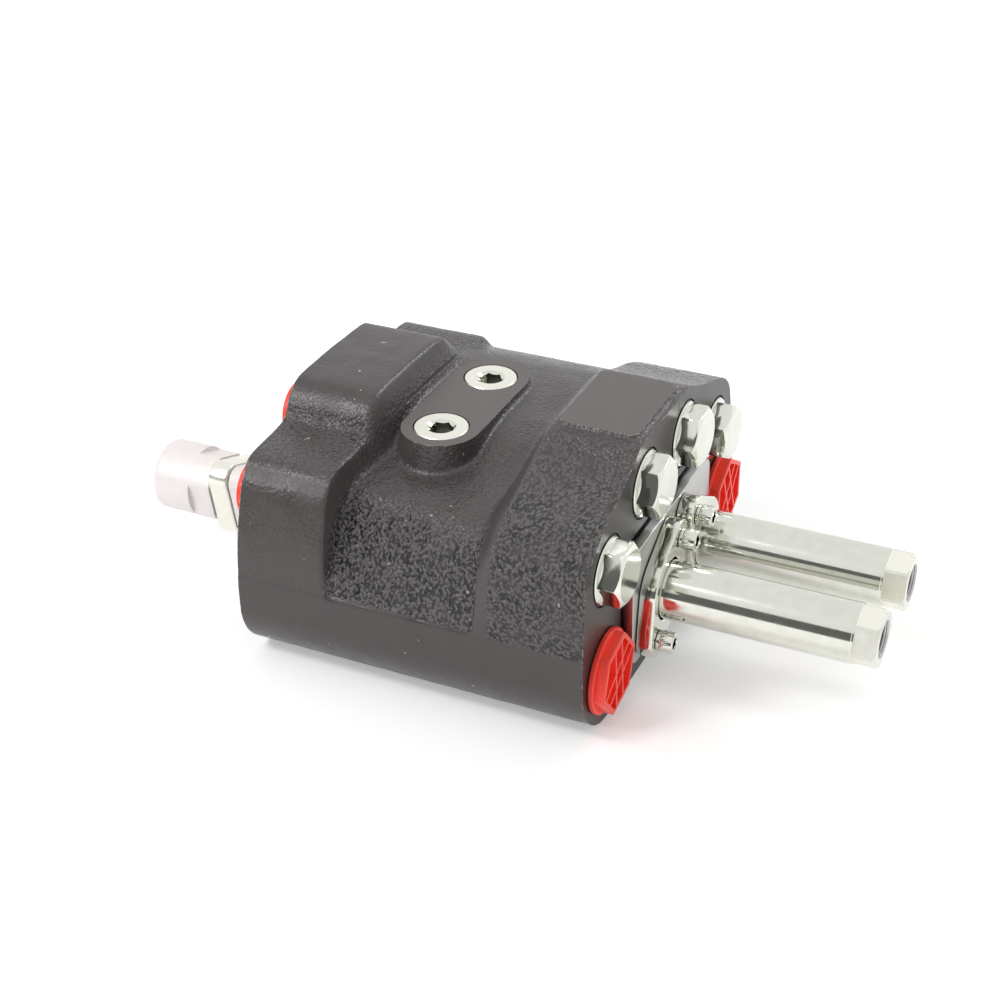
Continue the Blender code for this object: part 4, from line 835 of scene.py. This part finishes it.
red = red_plastic()
for node in ["supply_port_cap", "return_port_cap"] + [name + "_port_cap" for name in port_names]:
    main = not node.startswith(port_names)
    way, axis = (1, "X") if main else (-1, "-X")
    hole, width, sides = (13 * mm, 33 * mm, 6) if main else (11 * mm, 27.5 * mm, 64)
    turn = {"supply_port_cap": 0.2, "return_port_cap": 0.5}.get(node, 0.0)
    low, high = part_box(node)
    middle = (low + high) / 2
    spot = (0, middle.y, middle.z)
    top = high.x if main else -left_face + 5 * mm
    base = top - (7 if main else 4.7) * mm
    cap = edge(prism(node + "_head", width, base + (mm if main else 0), top, spot, red, axis,
                     turn=turn, sides=sides), 0.5 * mm)
    if main:
        collar = high.z - middle.z
        cut(cap, turned("collar", [(base, 0), (base, collar - 0.4 * mm), (base + 0.4 * mm, collar),
                                   (base + 2.0 * mm, collar), (base + 2.6 * mm, collar - 0.6 * mm),
                                   (base + 2.6 * mm, 0)], spot, red), "UNION")
    recess = prism("recess", width - 4.4 * mm, top - 3.4 * mm, top + mm, spot, red, axis,
                   turn=turn, sides=sides)
    for angle in (0.35, 1.45):
        c, s = math.cos(angle + turn), math.sin(angle + turn)
        for middle_line in (-0.11 * width, 0.11 * width):
            corners = [(u, middle_line + v) for u, v in ((-width, -0.65 * mm), (width, -0.65 * mm),
                                                         (width, 0.65 * mm), (-width, 0.65 * mm))]
            cut(recess, solid("rib", [[(x, middle.y + u * c - v * s, middle.z + u * s + v * c)
                                       for u, v in corners]
                                      for x in sorted(((top - 5 * mm) * way,
                                                       (top + 2 * mm) * way))],
                              red))
    cut(cap, recess)
    cut(cap, turned("stem", [(base - 13 * mm, 0), (base - 13 * mm, hole - 1.2 * mm),
                             (base - 11 * mm, hole - 0.3 * mm), (base + 0.4 * mm, hole - 0.3 * mm),
                             (base + 0.4 * mm, 0)], spot, red, axis, 48), "UNION")
    settle(cap, 30)
    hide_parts(node)
    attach(cap, "housing")


# Spool end covers: cast steel covers over the far spool ends, zinc plated, with a pilot port
# each. They are hidden in the photograph and follow the spring cap side.
for side, y in spool_y.items():
    sign = -1 if side == "front" else 1
    low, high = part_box(side + "_end_cover")
    outline = [(y - sign * a, spool_height + b)
               for a, b in two_bolt(15.5 * mm, 8 * mm, bolt_reach, bolt_tilt)]
    cover = edge(solid(side + "_cover", [[(x, a, b) for a, b in outline]
                                         for x in (high.x - 12 * mm, high.x)], zinc), 0.6 * mm)
    spot = (0, y, spool_height)
    end = -low.x
    cut(cover, turned("boss", [(-high.x + 11 * mm, 0), (-high.x + 11 * mm, 13.4 * mm),
                               (-high.x + 12.4 * mm, 12.3 * mm), (-high.x + 13.5 * mm, 12 * mm),
                               (end - mm, 12 * mm), (end, 11 * mm), (end, 0)], spot, zinc, "-X"),
        "UNION")
    profile = [(end - 9 * mm, 0), (end - 9 * mm, 6 * mm)]
    for i in range(5, -1, -1):
        profile += [(end - (1.65 + 1.337 * i) * mm, 6.1 * mm),
                    (end - (1.0 + 1.337 * i) * mm, 6.8 * mm)]
    cut(cover, turned("port", profile + [(end + mm, 7.9 * mm), (end + mm, 0)],
                      spot, steel, "-X", 60))
    settle(cover, 28)
    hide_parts(side + "_end_cover")
    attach(cover, "housing")
    for i, level in enumerate(("lower", "upper")):
        socket_screw(f"{side}_end_screw_{level}", f"{side}_cover_screw_{level}", -1, 0.2 + 0.4 * i)


# Relief valve: a cartridge with a three-sided wrench section screwed in under the covers, a zinc
# plated lock nut, and an aluminium cap over the adjusting screw.
def grey_cap():
    """Chemically dulled aluminium: pale, slightly pink grey, cloudy."""
    made = bpy.data.materials.new("dulled aluminium")
    made.use_nodes = True
    tree = made.node_tree
    shader = tree.nodes["Principled BSDF"]
    place = add(tree, "TexCoord").outputs["Object"]
    cloud = add(tree, "TexNoise", {"Vector": place, "Scale": 1 / (5 * mm), "Detail": 5.0})
    tone = add(tree, "Mix", {"Factor": cloud, 6: linear("#e6dfde"), 7: linear("#f3efed")},
               data_type="RGBA")
    tree.links.new(tone.outputs[2], shader.inputs["Base Color"])
    shader.inputs["Metallic"].default_value = 0.15
    shader.inputs["Roughness"].default_value = 0.45
    bump = add(tree, "Bump", {"Height": cloud, "Distance": 0.05 * mm, "Strength": 0.3})
    tree.links.new(bump.outputs[0], shader.inputs["Normal"])
    return made


dull_aluminium = grey_cap()
nut_low, nut_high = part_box("relief_lock_nut")
relief_middle = (nut_low + nut_high) / 2
relief_spot = (0, relief_middle.y, relief_middle.z)
body_low, body_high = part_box("relief_cartridge")
flats_low = body_low.x


def three_flats(name, reach, low, high, material):
    """A wrench section with three flats and wide round corners, as it stopped when tightened."""
    outline = [(relief_spot[1] + reach * (math.cos(corner) + math.cos(a) / 2),
                relief_spot[2] + reach * (math.sin(corner) + math.sin(a) / 2))
               for corner in np.radians((10, 130, 250))
               for a in corner + np.linspace(-math.pi / 3, math.pi / 3, 17)]
    return solid(name, [[(x, y, z) for y, z in outline] for x in (low, high)], material)


flats_high = flats_low + 30 * mm
cartridge = turned("relief_body", [
    (flats_high - 0.4 * mm, 0), (flats_high - 0.4 * mm, 12 * mm), (left_face - 0.3 * mm, 12 * mm),
    (left_face, 10.7 * mm), (body_high.x, 10.7 * mm), (body_high.x, 0)],
    relief_spot, dull_aluminium)
wrench = three_flats("wrench flats", 14.2 * mm, flats_low, flats_high, dull_aluminium)
cut(cartridge, edge(wrench, 0.8 * mm, 3, 40), "UNION")
settle(cartridge, 30)
nut = three_flats("relief_nut", 15 * mm, nut_low.x + 0.3 * mm, nut_high.x - 0.3 * mm, zinc_dull)
edge(nut, 0.8 * mm, 3, 40)
cap_low, cap_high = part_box("relief_cap")
radius = (cap_high.y - cap_low.y) / 2
crown = 4.2 * mm                # rounding of the closed end
cap = turned("relief_dome", [
    (cap_low.x, 0)] + [(cap_low.x + crown * (1 - math.cos(a)), radius - crown * (1 - math.sin(a)))
                       for a in np.linspace(0, math.pi / 2, 9)] + [
    (cap_high.x - 0.4 * mm, radius), (cap_high.x, radius - 0.4 * mm), (cap_high.x, 0)],
    relief_spot, dull_aluminium, steps=120)
sleeve = turned("flats", [(cap_high.x - 12 * mm, 0), (cap_high.x - 12 * mm, radius + 6 * mm),
                          (cap_high.x + mm, radius + 6 * mm), (cap_high.x + mm, 0)],
                relief_spot, dull_aluminium)
cut(sleeve, three_flats("keep", 15.4 * mm, cap_high.x - 13 * mm, cap_high.x + 2 * mm,
                        dull_aluminium))
cut(cap, sleeve)
settle(cap, 25)
for piece, node, slot in ((cartridge, "relief_cartridge", "matte_grey_cap"),
                          (nut, "relief_lock_nut", "bright_zinc_plate"),
                          (cap, "relief_cap", "matte_grey_cap")):
    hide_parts(node)
    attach(piece, "housing")


# Inside pieces: spools, poppets, seats, springs and seals keep the solids' own shape, as
# turned, ground, coiled or moulded, and get the finish that each has on the bench.
ground = zinc_plate("ground hardened steel", "#c8c8cc", "#b4b4b8", 0.12, 0.2, 0.01)
wire = zinc_plate("oiled spring wire", "#5a5a5e", "#6c6c70", 0.3, 0.42, 0.02)
teal_rubber = seal_rubber("teal fluorocarbon rubber", "#1c8f83")
finishes = {"_spool": ground, "_poppet": ground, "_load_check": ground, "_spring": wire,
            "_spring_seat": steel, "_centring_bolt": steel, "_adjusting_screw": steel,
            "_cap_seal": teal_rubber, "_cover_seal": black_rubber}
for name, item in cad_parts.items():
    for ending, finish in finishes.items():
        if name.endswith(ending):
            item.data.materials.clear()
            item.data.materials.append(finish)
